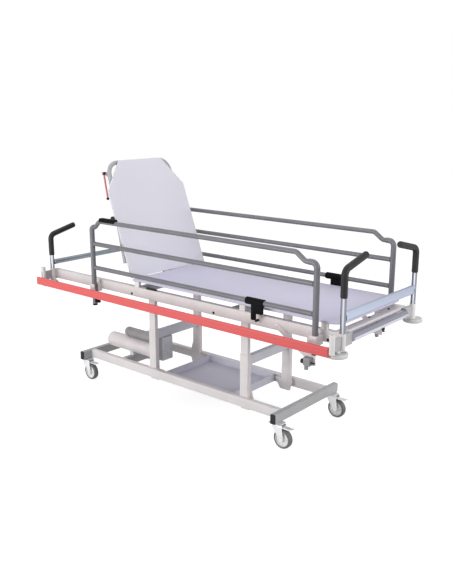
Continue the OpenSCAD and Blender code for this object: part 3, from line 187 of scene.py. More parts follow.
def add_range(tree, value, low, high, to_low=0.0, to_high=1.0):
    """Clamped map from low..high to to_low..to_high."""
    node = tree.nodes.new("ShaderNodeMapRange")
    for label, number in (("From Min", low), ("From Max", high), ("To Min", to_low), ("To Max", to_high)):
        node.inputs[label].default_value = number
    tree.links.new(value, node.inputs["Value"])
    return node.outputs["Result"]


def add_mix(tree, mask, first, second):
    """Colour mix of two sockets or colours by a mask."""
    node = tree.nodes.new("ShaderNodeMix")
    node.data_type = "RGBA"
    tree.links.new(mask, node.inputs["Factor"])
    for socket, value in ((node.inputs[6], first), (node.inputs[7], second)):
        if isinstance(value, tuple):
            socket.default_value = (*value, 1)
        else:
            tree.links.new(value, socket)
    return node.outputs[2]


def object_place(tree):
    """Object coordinates of the surface."""
    return tree.nodes.new("ShaderNodeTexCoord").outputs["Object"]


COLOUR, NUMBER = "NodeSocketColor", "NodeSocketFloat"
coat, coat_in, coat_out = new_group(
    "mottled_coat",
    [("Colour", COLOUR, (0.7, 0.7, 0.7, 1)), ("Dusty Colour", COLOUR, (0.6, 0.6, 0.6, 1)),
     ("Mottle Scale", NUMBER, 7.0), ("Grain Scale", NUMBER, 900.0), ("Roughness", NUMBER, 0.4),
     ("Roughness Spread", NUMBER, 0.12)],
    [("Colour", COLOUR), ("Roughness", NUMBER), ("Grain", NUMBER)])
coat_place = object_place(coat)
coat_cloud = add_noise(coat, coat_place, 7.0, 4.0, coat_in.outputs["Mottle Scale"])
coat_grain = add_noise(coat, coat_place, 900.0, 2.0, coat_in.outputs["Grain Scale"])
coat.links.new(add_mix(coat, add_range(coat, coat_cloud, 0.38, 0.72), coat_in.outputs["Colour"],
                       coat_in.outputs["Dusty Colour"]), coat_out.inputs["Colour"])
coat_spread = add_math(coat, "MULTIPLY", add_math(coat, "SUBTRACT", coat_cloud, 0.5),
                       coat_in.outputs["Roughness Spread"])
coat.links.new(add_math(coat, "ADD", coat_spread, coat_in.outputs["Roughness"]), coat_out.inputs["Roughness"])
coat.links.new(coat_grain, coat_out.inputs["Grain"])


def coated(name, colours, roughness, grain=900.0, bump=0.12, mottle=7.0, metallic=0.0, spread=0.12,
           specular=0.5):
    """Surface with a fine grain, broadly mottled between its clean colour and its dusty one."""
    material, tree, out = new_material(name)
    skin = tree.nodes.new("ShaderNodeBsdfPrincipled")
    skin.inputs["Metallic"].default_value = metallic
    skin.inputs["Specular IOR Level"].default_value = specular
    group = tree.nodes.new("ShaderNodeGroup")
    group.node_tree = coat
    for label, value in (("Colour", (*colours[0], 1)), ("Dusty Colour", (*colours[1], 1)),
                         ("Mottle Scale", mottle), ("Grain Scale", grain), ("Roughness", roughness),
                         ("Roughness Spread", spread)):
        group.inputs[label].default_value = value
    grain_bump = tree.nodes.new("ShaderNodeBump")
    grain_bump.inputs["Strength"].default_value = bump
    grain_bump.inputs["Distance"].default_value = GRAIN_DEPTH
    tree.links.new(group.outputs["Grain"], grain_bump.inputs["Height"])
    for source, label in ((group.outputs["Colour"], "Base Color"), (group.outputs["Roughness"], "Roughness"),
                          (grain_bump.outputs["Normal"], "Normal")):
        tree.links.new(source, skin.inputs[label])
    tree.links.new(skin.outputs[0], out.inputs["Surface"])
    return material


def piece(name, bm, body, slot, material, *replaces):
    """Finished mesh piece that rides on a body and may stand for CAD nodes."""
    bmesh.ops.recalc_face_normals(bm, faces=bm.faces)
    mesh = bpy.data.meshes.new(name)
    bm.to_mesh(mesh)
    bm.free()
    mesh.shade_smooth()
    mesh.set_sharp_from_angle(angle=radians(SHARP_ANGLE))
    mesh.materials.append(material)
    obj = new_object(name, mesh)
    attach(obj, body)
    if replaces:
        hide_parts(*replaces)


def finish_node(node, material):
    """A CAD node that stays gets its finish."""
    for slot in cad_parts[node].material_slots:
        slot.material = material


def add_ring(bm, points):
    """Vertices at points given in millimetres."""
    return [bm.verts.new([c * MM for c in p]) for p in points]


def join_rings(bm, first, second):
    """Faces between two rings of the same count."""
    count = len(first)
    for i in range(count):
        j = (i + 1) % count
        bm.faces.new((first[i], first[j], second[j], second[i]))


def around(radius, steps, start=0):
    """Points at even steps round a circle."""
    angles = (2 * pi * (k + start) / steps for k in range(steps))
    return [(radius * cos(a), radius * sin(a)) for a in angles]


def section(w, h, r):
    """Outline of a rectangle w by h with rounded corners."""
    outline = []
    for sx, sy, start in ((1, 1, 0), (-1, 1, 90), (-1, -1, 180), (1, -1, 270)):
        for i in range(CORNER_STEPS + 1):
            a = radians(start + 90 * i / CORNER_STEPS)
            outline.append((sx * (w / 2 - r) + r * cos(a), sy * (h / 2 - r) + r * sin(a)))
    return outline


def box_tube(bm, first, second, axis, corner=TUBE_CORNER, wall=0):
    """Rounded square bar along an axis between two opposite corners, open with a wall where one is given."""
    low, high = ([pick(pair) for pair in zip(first, second)] for pick in (min, max))
    across = [i for i in range(3) if i != axis]
    middle = [(low[i] + high[i]) / 2 for i in range(3)]
    w, h = (high[i] - low[i] for i in across)
    outlines = [section(w, h, corner)]
    if wall:
        outlines.append(section(w - 2 * wall, h - 2 * wall, max(corner - wall, 0.8)))
    rings = []
    for end in (low[axis], high[axis]):
        for outline in outlines:
            points = []
            for u, v in outline:
                p = [0, 0, 0]
                p[axis], p[across[0]], p[across[1]] = end, middle[across[0]] + u, middle[across[1]] + v
                points.append(p)
            rings.append(add_ring(bm, points))
    half = len(outlines)
    for i in range(half):
        join_rings(bm, rings[i], rings[i + half])
    if wall:
        join_rings(bm, rings[0], rings[1])
        join_rings(bm, rings[2], rings[3])
    else:
        bm.faces.new(rings[0])
        bm.faces.new(rings[1])


def sweep(bm, points, radius, steps=20, closed=False):
    """Round bar through points in millimetres; radius is a number or one number for each point."""
    spots = [Vector(p) for p in points]
    count = len(spots)
    radii = radius if isinstance(radius, list) else [radius] * count
    rings = []
    side = None
    for i, spot in enumerate(spots):
        before = spots[i - 1] if i or closed else spots[i]
        after = spots[(i + 1) % count] if i < count - 1 or closed else spots[i]
        ahead = (after - before).normalized()
        if side is None:
            side = ahead.orthogonal().normalized()
        side = (side - ahead * side.dot(ahead)).normalized()
        up = ahead.cross(side)
        rings.append(add_ring(bm, [spot + side * u + up * v for u, v in around(radii[i], steps)]))
    for i in range(count - 1):
        join_rings(bm, rings[i], rings[i + 1])
    if closed:
        join_rings(bm, rings[-1], rings[0])
    else:
        bm.faces.new(rings[0])
        bm.faces.new(rings[-1])


def bead(bm, corners):
    """Weld bead along straight stretches between corners, with the ripple that each drop leaves."""
    for start, end in zip(corners, corners[1:]):
        a, b = Vector(start), Vector(end)
        count = max(int((b - a).length / BEAD_PITCH), 2)
        spots = [a + (b - a) * i / count for i in range(count + 1)]
        sweep(bm, spots, [BEAD_RADIUS * (1 + BEAD_RIPPLE * (i % 2)) for i in range(count + 1)], steps=8)


frame_coat = coated("light_powder_coat", COAT_LIGHT, COAT_ROUGHNESS)
# The cross members' coat is painted shade: a darker copy of the frame coat.
cross_shaded_paint = coated("cross_member_shaded_paint", CROSS_COAT_PAINTED_SHADE, COAT_ROUGHNESS)
black_moulding = coated("black_moulding", CAP_BLACK, 0.5, grain=500.0, bump=0.25, mottle=25.0,
                        specular=0.2)
base = bmesh.new()
for side in (-1, 1):
    box_tube(base, (BASE_HEAD_X + TUBE_HALF, side * SIDE_OUT_Y, BASE_LOW),
             (BASE_FOOT_X - TUBE_HALF, side * SIDE_IN_Y, BASE_HIGH), 0)
piece("base_long_tubes", base, "base", "frame_paint", frame_coat, "base_side_tubes")
beams = bmesh.new()
for x, half, wall in ((BASE_HEAD_X, BASE_BEAM_HALF, TUBE_WALL), (BASE_FOOT_X, BASE_BEAM_HALF, TUBE_WALL),
                      (BASE_MID_X, SIDE_IN_Y, 0)):
    box_tube(beams, (x - TUBE_HALF, -half, BASE_LOW), (x + TUBE_HALF, half, BASE_HIGH), 1, wall=wall)
# The base cross tubes take the darker coat, painted shade.
piece("base_cross_tubes", beams, "base", "frame_paint", cross_shaded_paint, "base_cross_beams")
beads = bmesh.new()
for side in (-1, 1):
    for x in (BASE_HEAD_X + TUBE_HALF + 1, BASE_FOOT_X - TUBE_HALF - 1):
        bead(beads, [(x, side * y, z) for y, z in BASE_BEAD])
    bead(beads, [(BASE_MID_X + u, side * (SIDE_IN_Y - 1), BASE_HIGH - 2) for u in (-TUBE_HALF, TUBE_HALF)])
piece("base_weld_beads", beads, "base", "frame_paint", frame_coat)
caps = bmesh.new()
for x in (BASE_HEAD_X, BASE_FOOT_X):
    for side in (-1, 1):
        box_tube(caps, (x - TUBE_HALF, side * BASE_BEAM_HALF, BASE_LOW),
                 (x + TUBE_HALF, side * (BASE_BEAM_HALF + 3), BASE_HIGH), 1, 5)
        box_tube(caps, (x - 12.2, side * (BASE_BEAM_HALF - 12), BASE_LOW + 2.8),
                 (x + 12.2, side * BASE_BEAM_HALF, BASE_HIGH - 2.8), 1, 2)
piece("cross_beam_caps", caps, "base", "black_plastic", black_moulding, "base_end_caps")

# Castors: a pressed and zinc-plated fork turns on a kingpin under a bolted plate, and carries a pale
# plastic wheel with a grey rubber tread. A pressed pedal between the cheeks works the brake.
CASTORS = {"head_near": (-827, -243), "head_far": (-827, 243),
           "foot_near": (613, -243), "foot_far": (613, 243)}
TRAIL, AXLE_Z, HUB_RADIUS = 38, 50, 38
CHEEK_IN, CHEEK_OUT = 16, 20
PEDAL_X, PEDAL_Z = 34, 108.6
ZINC = (0.80, 0.80, 0.81), (0.70, 0.70, 0.72)
TREAD_GREY = (0.115, 0.115, 0.12), (0.17, 0.17, 0.175)
HUB_WHITE = (0.80, 0.80, 0.80), (0.70, 0.70, 0.70)
CROWN = [(7.2, 107.8), (18, 107.6), (24, 109), (25, 112), (25, 117), (22, 120.4), (7.2, 120.5)]
CHEEK = [(-15, 120.4), (-17, 108), (-6, 88), (18, 62), (27, 42), (32.5, 38.8), (38, 37.6), (43.5, 38.8),
         (48, 42.5), (50, 50), (49, 62), (46, 78), (43, 97), (42.5, 120.4)]
PEDAL = [(-4, -4), (2, -4.4), (12, -2.4), (56, -2.4), (60, -1), (66, 4), (65, 6.5), (56, 2.6), (12, 2.6),
         (2, 4.4), (-4, 4)]
TYRE_HALF = [(HUB_RADIUS, -13.5), (HUB_RADIUS + 3, -14.6), (45, -14.4), (48.6, -11.5), (49.7, -6), (50, 0)]
HUB_HALF = [(6.2, -14.8), (13, -14.8), (14, -13.5), (14.5, -8), (18, -7), (33, -7), (35, -11.5), (36.5, -13),
            (HUB_RADIUS + 0.2, -13)]


def lathe(bm, profile, at, axis=(0, 0, 1), steps=40):
    """Turned solid: profile is (radius, distance along the axis) pairs from one end to the other."""
    turn = Vector((0, 0, 1)).rotation_difference(Vector(axis))
    rings = []
    for r, h in profile:
        rim = around(r, steps) if r else [(0, 0)]
        rings.append(add_ring(bm, [Vector(at) + turn @ Vector((u, v, h)) for u, v in rim]))
    for first, second in zip(rings, rings[1:]):
        if len(first) == 1 or len(second) == 1:
            tip, rim = (first[0], second) if len(first) == 1 else (second[0], first)
            for i in range(len(rim)):
                bm.faces.new((tip, rim[i], rim[(i + 1) % len(rim)]))
        else:
            join_rings(bm, first, second)


def mirrored(half):
    """Closed profile of a ring that is alike on both sides of its middle, from one half of it."""
    return half + [(r, -h) for r, h in reversed(half) if h] + half[:1]


def pin(bm, at, axis, radius, length, chamfer=0.8, steps=24):
    """Round pin with chamfered ends, from a point along an axis."""
    lathe(bm, [(0, 0), (radius - chamfer, 0), (radius, chamfer), (radius, length - chamfer),
               (radius - chamfer, length), (0, length)], at, axis, steps)


def hex_bolt(bm, at, axis, across, height):
    """Hexagon head on a round washer."""
    pin(bm, at, axis, across * 0.9, 1.2, 0.4)
    start = Vector(at) + Vector(axis).normalized() * 1.2
    lathe(bm, [(0, 0), (across * 0.577, 0), (across * 0.577, height - 0.8), (across * 0.5, height),
               (0, height)], start, axis, 6)


def as_drawn(u, v, w):
    """Outline drawn in X and Y, raised along Z."""
    return (u, v, w)


def plate(bm, outline, low, high, place=as_drawn, edge=0.8):
    """Flat plate: an outline raised from low to high, with small edge bevels, set by place(u, v, w)."""
    made = bmesh.new()
    face = made.faces.new([made.verts.new((u * MM, v * MM, low * MM)) for u, v in outline])
    raised = bmesh.ops.extrude_face_region(made, geom=[face])
    for vert in (g for g in raised["geom"] if isinstance(g, bmesh.types.BMVert)):
        vert.co.z = high * MM
    if edge:
        rims = [e for e in made.edges if abs(e.verts[0].co.z - e.verts[1].co.z) < 1e-7]
        bmesh.ops.bevel(made, geom=rims, offset=edge * MM, segments=2, profile=0.5, affect="EDGES")
    copies = {v: bm.verts.new([c * MM for c in place(*(c / MM for c in v.co))]) for v in made.verts}
    for f in made.faces:
        bm.faces.new([copies[v] for v in f.verts])
    made.free()


zinc = coated("bright_zinc", ZINC, 0.34, grain=1400.0, bump=0.06, mottle=40.0, metallic=0.55)
tread_rubber = coated("grey_tread_rubber", TREAD_GREY, 0.62, grain=700.0, bump=0.3, mottle=30.0)
hub_plastic = coated("pale_hub_plastic", HUB_WHITE, 0.4, grain=500.0, bump=0.1, mottle=30.0)
for corner, (cx, cy) in CASTORS.items():
    fork, tyre, hub, pedal = (bmesh.new() for i in range(4))
    axle = (cx + TRAIL, cy, AXLE_Z)
    lathe(fork, CROWN, (cx, cy, 0))
    box_tube(fork, (cx - 15, cy - CHEEK_OUT, 116.4), (cx + 14, cy + CHEEK_OUT, 120.4), 0, 1.5)
    for side in (-1, 1):
        plate(fork, CHEEK, CHEEK_IN, CHEEK_OUT, lambda u, v, w: (cx + u, cy + side * w, v))
        pin(fork, (cx + TRAIL, cy + side * CHEEK_OUT, AXLE_Z), (0, side, 0), 9.6, 3)
        pin(fork, (cx + PEDAL_X, cy + side * (CHEEK_OUT - 1), PEDAL_Z), (0, side, 0), 3.4, 1.6, 0.5)
    pin(fork, (cx + TRAIL, cy - CHEEK_OUT, AXLE_Z), (0, 1, 0), 5.9, 2 * CHEEK_OUT)
    piece("castor_fork_pressing_" + corner, fork, "castor_" + corner, "frame_paint", zinc,
          "castor_fork_" + corner)
    lathe(tyre, mirrored(TYRE_HALF), axle, (0, 1, 0), 56)
    piece("castor_tread_" + corner, tyre, "wheel_" + corner, "castor_tyre", tread_rubber,
          "castor_wheel_" + corner)
    lathe(hub, mirrored(HUB_HALF), axle, (0, 1, 0), 56)
    for u, v in around(24, 5):
        x, z = cx + TRAIL + u, AXLE_Z + v
        box_tube(hub, (x - 2, cy - 9, z - 2), (x + 2, cy + 9, z + 2), 1, 1.2)
    piece("castor_hub_" + corner, hub, "wheel_" + corner, "castor_tyre", hub_plastic)
    plate(pedal, PEDAL, -14.5, 14.5, lambda u, v, w: (cx + PEDAL_X + u, cy + w, PEDAL_Z + v))
    for u in (44, 48, 52, 56):
        pin(pedal, (cx + PEDAL_X + u, cy - 12, 111.2), (0, 1, 0), 0.9, 24, 0.3, 8)
    piece("brake_pedal_pressing_" + corner, pedal, "pedal_" + corner, "frame_paint", zinc,
          "brake_pedal_" + corner)
plates = bmesh.new()
for cx, cy in CASTORS.values():
    plate(plates, [(cx + u, cy + v) for u, v in section(70, 58, 5)], 121, 125)
    pin(plates, (cx, cy, 104.2), (0, 0, 1), 10.9, 3, 0.8)
    pin(plates, (cx, cy, 106), (0, 0, 1), 6.9, 16, 0.5)
    for side in (-1, 1):
        hex_bolt(plates, (cx + side * 27, cy, 121), (0, 0, -1), 9, 4)
piece("castor_plates_and_bolts", plates, "base", "castor_plate_steel", zinc, "castor_plates")

# Telescopic columns: thin rectangular tubes that stand over the side tubes on a short leg and a pressed
# foot plate, with a plain ring on top, inner tubes that slide in them, tie beams across each pair and
# hidden rams.
COLUMN_X, COLUMN_IN_Y, COLUMN_OUT_Y = (-300, 363), 167, 195
COLUMN_HALF_L, COLUMN_TOP, LEG_LOW = 26, 397, 104
INNER_HALF_L, INNER_HALF_W, INNER_LOW, INNER_HIGH = 23.5, 11.5, 299, 632
TIE_LOW, TIE_HIGH = 340, 390
TIE_BEAD = [(-14, TIE_LOW + 1), (-14, TIE_HIGH - 1), (14, TIE_HIGH - 1), (14, TIE_LOW + 1),
            (-14, TIE_LOW + 1)]
FOOT_PLATE = [(34, 104), (67, 154), (67, 165), (26, 165), (26, 235), (-26, 235), (-47, 161), (-34, 112),
              (-26, 104)]
# Tie beams: a cooler, darker copy of the frame coat, toned for the shade they stand in: painted shade.
TIE_PAINTED_SHADE = (0.66, 0.66, 0.71), (0.60, 0.60, 0.645)
STEEL = (0.62, 0.63, 0.65), (0.5, 0.51, 0.53)


def outward(side):
    """Outline drawn in X and Z, raised away from the middle on that side."""
    return lambda u, v, w: (u, side * w, v)


# The ties' coat is painted shade, a copy of the frame's.
tie_shaded_paint = coated("tie_beam_shaded_paint", TIE_PAINTED_SHADE, 0.42)
ram_steel = coated("ground_ram_steel", STEEL, 0.3, grain=1500.0, bump=0.05, mottle=30.0,
                   metallic=1.0)
outer, inner, collars, ties = (bmesh.new() for i in range(4))
for x, towards_tray in zip(COLUMN_X, (1, -1)):
    head_x, foot_x = x - COLUMN_HALF_L, x + COLUMN_HALF_L
    for side in (-1, 1):
        in_y, out_y = side * COLUMN_IN_Y, side * COLUMN_OUT_Y
        middle_y = (in_y + out_y) / 2
        box_tube(outer, (head_x, in_y, BASE_HIGH), (foot_x, out_y, COLUMN_TOP), 2, 3.5, 2)
        box_tube(outer, (head_x, in_y, LEG_LOW), (foot_x, side * SIDE_IN_Y, BASE_HIGH), 2, 3, 2)
        box_tube(outer, (x - 24, middle_y - 12, BASE_HIGH), (x + 24, middle_y + 12, BASE_HIGH + 4), 2, 1)
        plate(outer, [(x + towards_tray * u, v) for u, v in FOOT_PLATE], COLUMN_IN_Y - 0.5,
              COLUMN_IN_Y + 1.8, outward(side))
        bead(outer, [(x + u, side * (COLUMN_OUT_Y + 0.5), BASE_HIGH + 1) for u in (-24, 24)])
        bead(outer, [(x + towards_tray * u, side * (COLUMN_IN_Y + 0.5), BASE_HIGH - 10) for u in (28, 64)])
        box_tube(inner, (x - INNER_HALF_L, middle_y - INNER_HALF_W, INNER_LOW),
                 (x + INNER_HALF_L, middle_y + INNER_HALF_W, INNER_HIGH), 2, 2.5, 2)
        box_tube(collars, (head_x, in_y, COLUMN_TOP), (foot_x, out_y, COLUMN_TOP + 4), 2, 3, 2.2)
        bead(ties, [(x + u, side * (COLUMN_IN_Y - 1), z) for u, z in TIE_BEAD])
    box_tube(ties, (x - TUBE_HALF, -COLUMN_IN_Y, TIE_LOW), (x + TUBE_HALF, COLUMN_IN_Y, TIE_HIGH), 1)
piece("outer_column_tubes", outer, "base", "frame_paint", frame_coat, "outer_columns")
piece("inner_column_tubes", inner, "lift", "frame_paint", frame_coat, "inner_columns")
piece("column_top_rings", collars, "base", "frame_paint", frame_coat, "column_collars")
piece("column_tie_tubes", ties, "base", "frame_paint", tie_shaded_paint, "column_ties")
finish_node("column_shoes", black_moulding)
finish_node("ram_cylinders", ram_steel)
finish_node("ram_rods", ram_steel)

# Load tray: one folded sheet pan between the columns, welded to the side tubes, with a rolled rim and
# soft folds. It is coated in a cooler lilac grey than the tubes.
TRAY_LOW, TRAY_RIM = 133, 174
TRAY_HEAD_X, TRAY_FOOT_X, TRAY_SHEET = -202, 287, 2
TRAY_GREY = (0.60, 0.59, 0.665), (0.55, 0.54, 0.61)
tray_coat = coated("lilac_tray_coat", TRAY_GREY, 0.5, bump=0.1, mottle=4.0)
tray = bmesh.new()
box_tube(tray, (TRAY_HEAD_X, -SIDE_IN_Y, TRAY_LOW), (TRAY_FOOT_X, SIDE_IN_Y, TRAY_RIM), 2, 6, TRAY_SHEET)
box_tube(tray, (TRAY_HEAD_X + 1, -SIDE_IN_Y + 1, TRAY_LOW),
         (TRAY_FOOT_X - 1, SIDE_IN_Y - 1, TRAY_LOW + TRAY_SHEET), 2, 5)
for y in (-SIDE_IN_Y + 4, SIDE_IN_Y - 4):
    sweep(tray, [(TRAY_HEAD_X + 4, y, TRAY_LOW + 3), (TRAY_FOOT_X - 4, y, TRAY_LOW + 3)], 2, 10)
for x in (TRAY_HEAD_X + 4, TRAY_FOOT_X - 4):
    sweep(tray, [(x, -SIDE_IN_Y + 4, TRAY_LOW + 3), (x, SIDE_IN_Y - 4, TRAY_LOW + 3)], 2, 10)
    sweep(tray, [(x - 2, -SIDE_IN_Y + 8, TRAY_RIM - 1.6), (x - 2, SIDE_IN_Y - 8, TRAY_RIM - 1.6)], 1.6, 10)
piece("load_tray_pan", tray, "base", "tray_paint", tray_coat, "load_tray")

# Pump unit: a round oil tank and a finned electric motor, both held by a cast block that hangs under
# the head tie beam. A strap saddle on the middle cross member carries the tank's free end.
BLOCK_HEAD_X, BLOCK_FOOT_X, PUMP_Y, TANK_Z, MOTOR_Z = -325, -275, -98, 234, 308
TANK_PROFILE = [(0, 0), (44, 0), (44, 96), (42.8, 98), (42.8, 101), (44, 103), (44, 414), (42.6, 421),
                (38.5, 428), (32, 433.4), (22, 435.8), (0, 436)]
MOTOR_PROFILE = [(0, 0), (28, 0), (28, 18), (26.4, 20), (26.4, 24), (28, 26), (28, 252), (26.4, 254),
                 (26.4, 258), (28, 260), (28, 277), (26, 284), (21, 289), (14, 291), (0, 291)]
SADDLE = [(-28, 175), (28, 175), (28, 200), (22, 196), (14, 192.4), (0, 190.2), (-14, 192.4), (-22, 196),
          (-28, 200)]
TANK_PINK = (0.70, 0.645, 0.65), (0.62, 0.57, 0.58)
MOTOR_GREY = (0.30, 0.29, 0.30), (0.22, 0.215, 0.22)
BLOCK_GREY = (0.62, 0.62, 0.65), (0.56, 0.56, 0.59)


def along_x(u, v, w):
    """Outline drawn in Y and Z, raised along X."""
    return (w, u, v)


tank_coat = coated("tank_coat", TANK_PINK, 0.38, mottle=9.0)
motor_coat = coated("motor_coat", MOTOR_GREY, 0.34, mottle=14.0)
block_coat = coated("cast_block", BLOCK_GREY, 0.5, grain=350.0, bump=0.35, mottle=30.0)
tank, motor, block = (bmesh.new() for i in range(3))
lathe(tank, TANK_PROFILE, (BLOCK_HEAD_X, PUMP_Y, TANK_Z), (-1, 0, 0), 56)
pin(tank, (-480, PUMP_Y + 14, TANK_Z + 41), (0, 0.3, 1), 9, 5, 1.2)
piece("oil_tank", tank, "base", "tank_paint", tank_coat, "pump_tank")
lathe(motor, MOTOR_PROFILE, (BLOCK_HEAD_X, PUMP_Y, MOTOR_Z), (-1, 0, 0), 48)
for u, v in around(27.2, 24):
    pin(motor, (BLOCK_HEAD_X - 30, PUMP_Y + u, MOTOR_Z + v), (-1, 0, 0), 0.8, 218, 0.3, 6)
piece("pump_motor_body", motor, "base", "motor_paint", motor_coat, "pump_motor")
box_tube(block, (BLOCK_HEAD_X, PUMP_Y - 42, 205), (BLOCK_FOOT_X, PUMP_Y + 42, 340), 2, 5)
plate(block, [(PUMP_Y + u, v) for u, v in SADDLE], BASE_MID_X - TUBE_HALF, BASE_MID_X + TUBE_HALF, along_x)
for z in (225, 262, 318):
    for side in (-1, 1):
        hex_bolt(block, (BLOCK_FOOT_X, PUMP_Y + side * 30, z), (1, 0, 0), 9, 4)
for z in (240, 300):
    pin(block, (BLOCK_FOOT_X, PUMP_Y, z), (1, 0, 0), 9, 3, 0.6)
piece("pump_casting", block, "base", "block_metal", block_coat, "pump_block")

# Lifted frame: 55 by 30 mm rails, a closed beam across the foot end with a block at each corner, and two
# inner beams that stand on the columns. A clevis under the head inner beam holds the gas spring.
RAIL_LOW, RAIL_HIGH = 610, 665
RAIL_OUT_Y, RAIL_IN_Y = 300, 270
RAIL_HEAD_X, BEAM_IN_X, BEAM_OUT_X = -1025, 941, 990
POST_X, POST_Y = 1008, 325
END_BLOCK_IN_Y, BLOCK_SIDE_Y = 247, 312
CROSS_HALF, CROSS_LOW, CROSS_HIGH = 26, 632, 662
CLEVIS_X, CLEVIS_Z = -360, 630
CLEVIS = [(-326, 632), (-326, 662), (-352, 645), (-360, 640), (-366, 638), (-370, 630), (-366, 622),
          (-360, 620)]
rails, cross = bmesh.new(), bmesh.new()
for side in (-1, 1):
    box_tube(rails, (RAIL_HEAD_X, side * RAIL_OUT_Y, RAIL_LOW), (BEAM_IN_X, side * RAIL_IN_Y, RAIL_HIGH), 0)
    box_tube(rails, (-POST_X - 12, side * BLOCK_SIDE_Y, RAIL_LOW),
             (-POST_X + 12, side * (RAIL_OUT_Y - 2), RAIL_HIGH), 1, 2)
    bead(rails, [(-POST_X + 12.5, side * (RAIL_OUT_Y + 0.5), z) for z in (RAIL_LOW + 2, RAIL_HIGH - 2)])
    bead(rails, [(BEAM_IN_X, side * (RAIL_OUT_Y - 1), RAIL_LOW + 3),
                 (BEAM_IN_X, side * (RAIL_OUT_Y - 1), RAIL_HIGH - 2),
                 (BEAM_IN_X, side * (RAIL_IN_Y + 1), RAIL_HIGH - 2)])
box_tube(rails, (BEAM_IN_X, -RAIL_OUT_Y, RAIL_LOW), (BEAM_OUT_X - 1.6, RAIL_OUT_Y, RAIL_HIGH), 1)
piece("long_frame_rails", rails, "lift", "frame_paint", frame_coat, "frame_rails")
for side in (-1, 1):
    box_tube(cross, (BEAM_OUT_X - 2.5, side * BLOCK_SIDE_Y, RAIL_LOW),
             (POST_X + 4, side * END_BLOCK_IN_Y, RAIL_HIGH), 1, 3)
    bead(cross, [(BEAM_OUT_X, side * (END_BLOCK_IN_Y - 1), z) for z in (RAIL_LOW + 3, RAIL_HIGH - 2)])
    plate(cross, CLEVIS, 12.5, 17.5, outward(side))
    pin(cross, (CLEVIS_X, side * 17.4, CLEVIS_Z), (0, side, 0), 7, 3, 0.6)
for x in COLUMN_X:
    box_tube(cross, (x - CROSS_HALF, -RAIL_IN_Y, CROSS_LOW), (x + CROSS_HALF, RAIL_IN_Y, CROSS_HIGH), 1)
    for side in (-1, 1):
        bead(cross, [(x + u, side * (RAIL_IN_Y - 1), CROSS_HIGH - 1) for u in (-24, 24)])
pin(cross, (CLEVIS_X, -17.5, CLEVIS_Z), (0, 1, 0), 3.95, 35, 0.3)
# Inner beams, end blocks and clevis take the darker coat, painted shade.
piece("frame_cross_tubes", cross, "lift", "frame_paint", cross_shaded_paint, "frame_cross_beams")

# End tube and corner sockets: a chromed round tube runs between the two foot blocks, its chrome a painted
# reflection, dark on top and pale lilac below, and round sockets at the corners take the handle posts.
# Below each socket a grey disc turns on a lug and fends off doors.
SOCKET_LOW, SOCKET_R, SOCKET_BORE_R = 597, 15.3, 12.8
END_TUBE_Z, END_TUBE_R = 640, 20
DISC_X, DISC_Y, DISC_LOW = 1000, 350, 576
SOCKET_PROFILE = [(0, 0), (13.5, 0), (SOCKET_R, 1.5), (SOCKET_R, 76.5), (SOCKET_R - 1, 78.6), (13.6, 79),
                  (SOCKET_BORE_R, 78.2), (SOCKET_BORE_R, 3), (0, 3)]
DISC_PROFILE = [(6.2, 0), (43, 0), (46.5, 1.2), (48.5, 4.6), (49, 8), (49, 12), (48.5, 15.4), (46.5, 18.8),
                (43, 20), (37, 20), (35, 18.6), (18, 18.6), (16, 20), (6.2, 20), (6.2, 0)]
# Chrome of the posts: a painted glint in the middle and painted dark rims, a painted reflection.
CHROME_PAINTED_GLINT, CHROME_PAINTED_DARK_RIM = (0.84, 0.86, 0.92), (0.20, 0.21, 0.245)
# End tube: painted reflection, pale lilac below and dark on top.
END_TUBE_PAINTED_LIGHT_BELOW, END_TUBE_PAINTED_DARK_TOP = (0.80, 0.80, 0.92), (0.30, 0.30, 0.35)
DISC_GREY = (0.60, 0.60, 0.59), (0.52, 0.52, 0.51)


def chromed(name, middle, edge, roughness, turn=(0.01, 0.11), above=None):
    """Polished tube with painted reflection: painted bright where it faces the viewer, dark where it turns
    away, with a faint haze; a tube that lies flat may be painted darker above, as a reflection of the boards."""
    material, tree, out = new_material(name)
    skin = tree.nodes.new("ShaderNodeBsdfPrincipled")
    skin.inputs["Metallic"].default_value = 1.0
    # Painted reflection: bright where the surface faces the viewer, dark where it turns away.
    facing = tree.nodes.new("ShaderNodeLayerWeight")
    facing.inputs["Blend"].default_value = 0.5
    turned = add_range(tree, facing.outputs["Facing"], *turn)
    haze = add_noise(tree, object_place(tree), 14.0, 3.0)
    hazed = add_math(tree, "ADD", turned, add_range(tree, haze, 0.3, 0.7, -0.05, 0.05))
    colour = add_mix(tree, hazed, middle, edge)
    # Painted reflection of the boards: darker where the surface faces up.
    if above:
        tilt = tree.nodes.new("ShaderNodeSeparateXYZ")
        tree.links.new(tree.nodes.new("ShaderNodeTexCoord").outputs["Normal"], tilt.inputs[0])
        colour = add_mix(tree, add_range(tree, tilt.outputs["Z"], -0.05, 0.25), colour, above)
    tree.links.new(colour, skin.inputs["Base Color"])
    tree.links.new(add_range(tree, haze, 0.3, 0.7, roughness, roughness + 0.06), skin.inputs["Roughness"])
    tree.links.new(skin.outputs[0], out.inputs["Surface"])
    return material
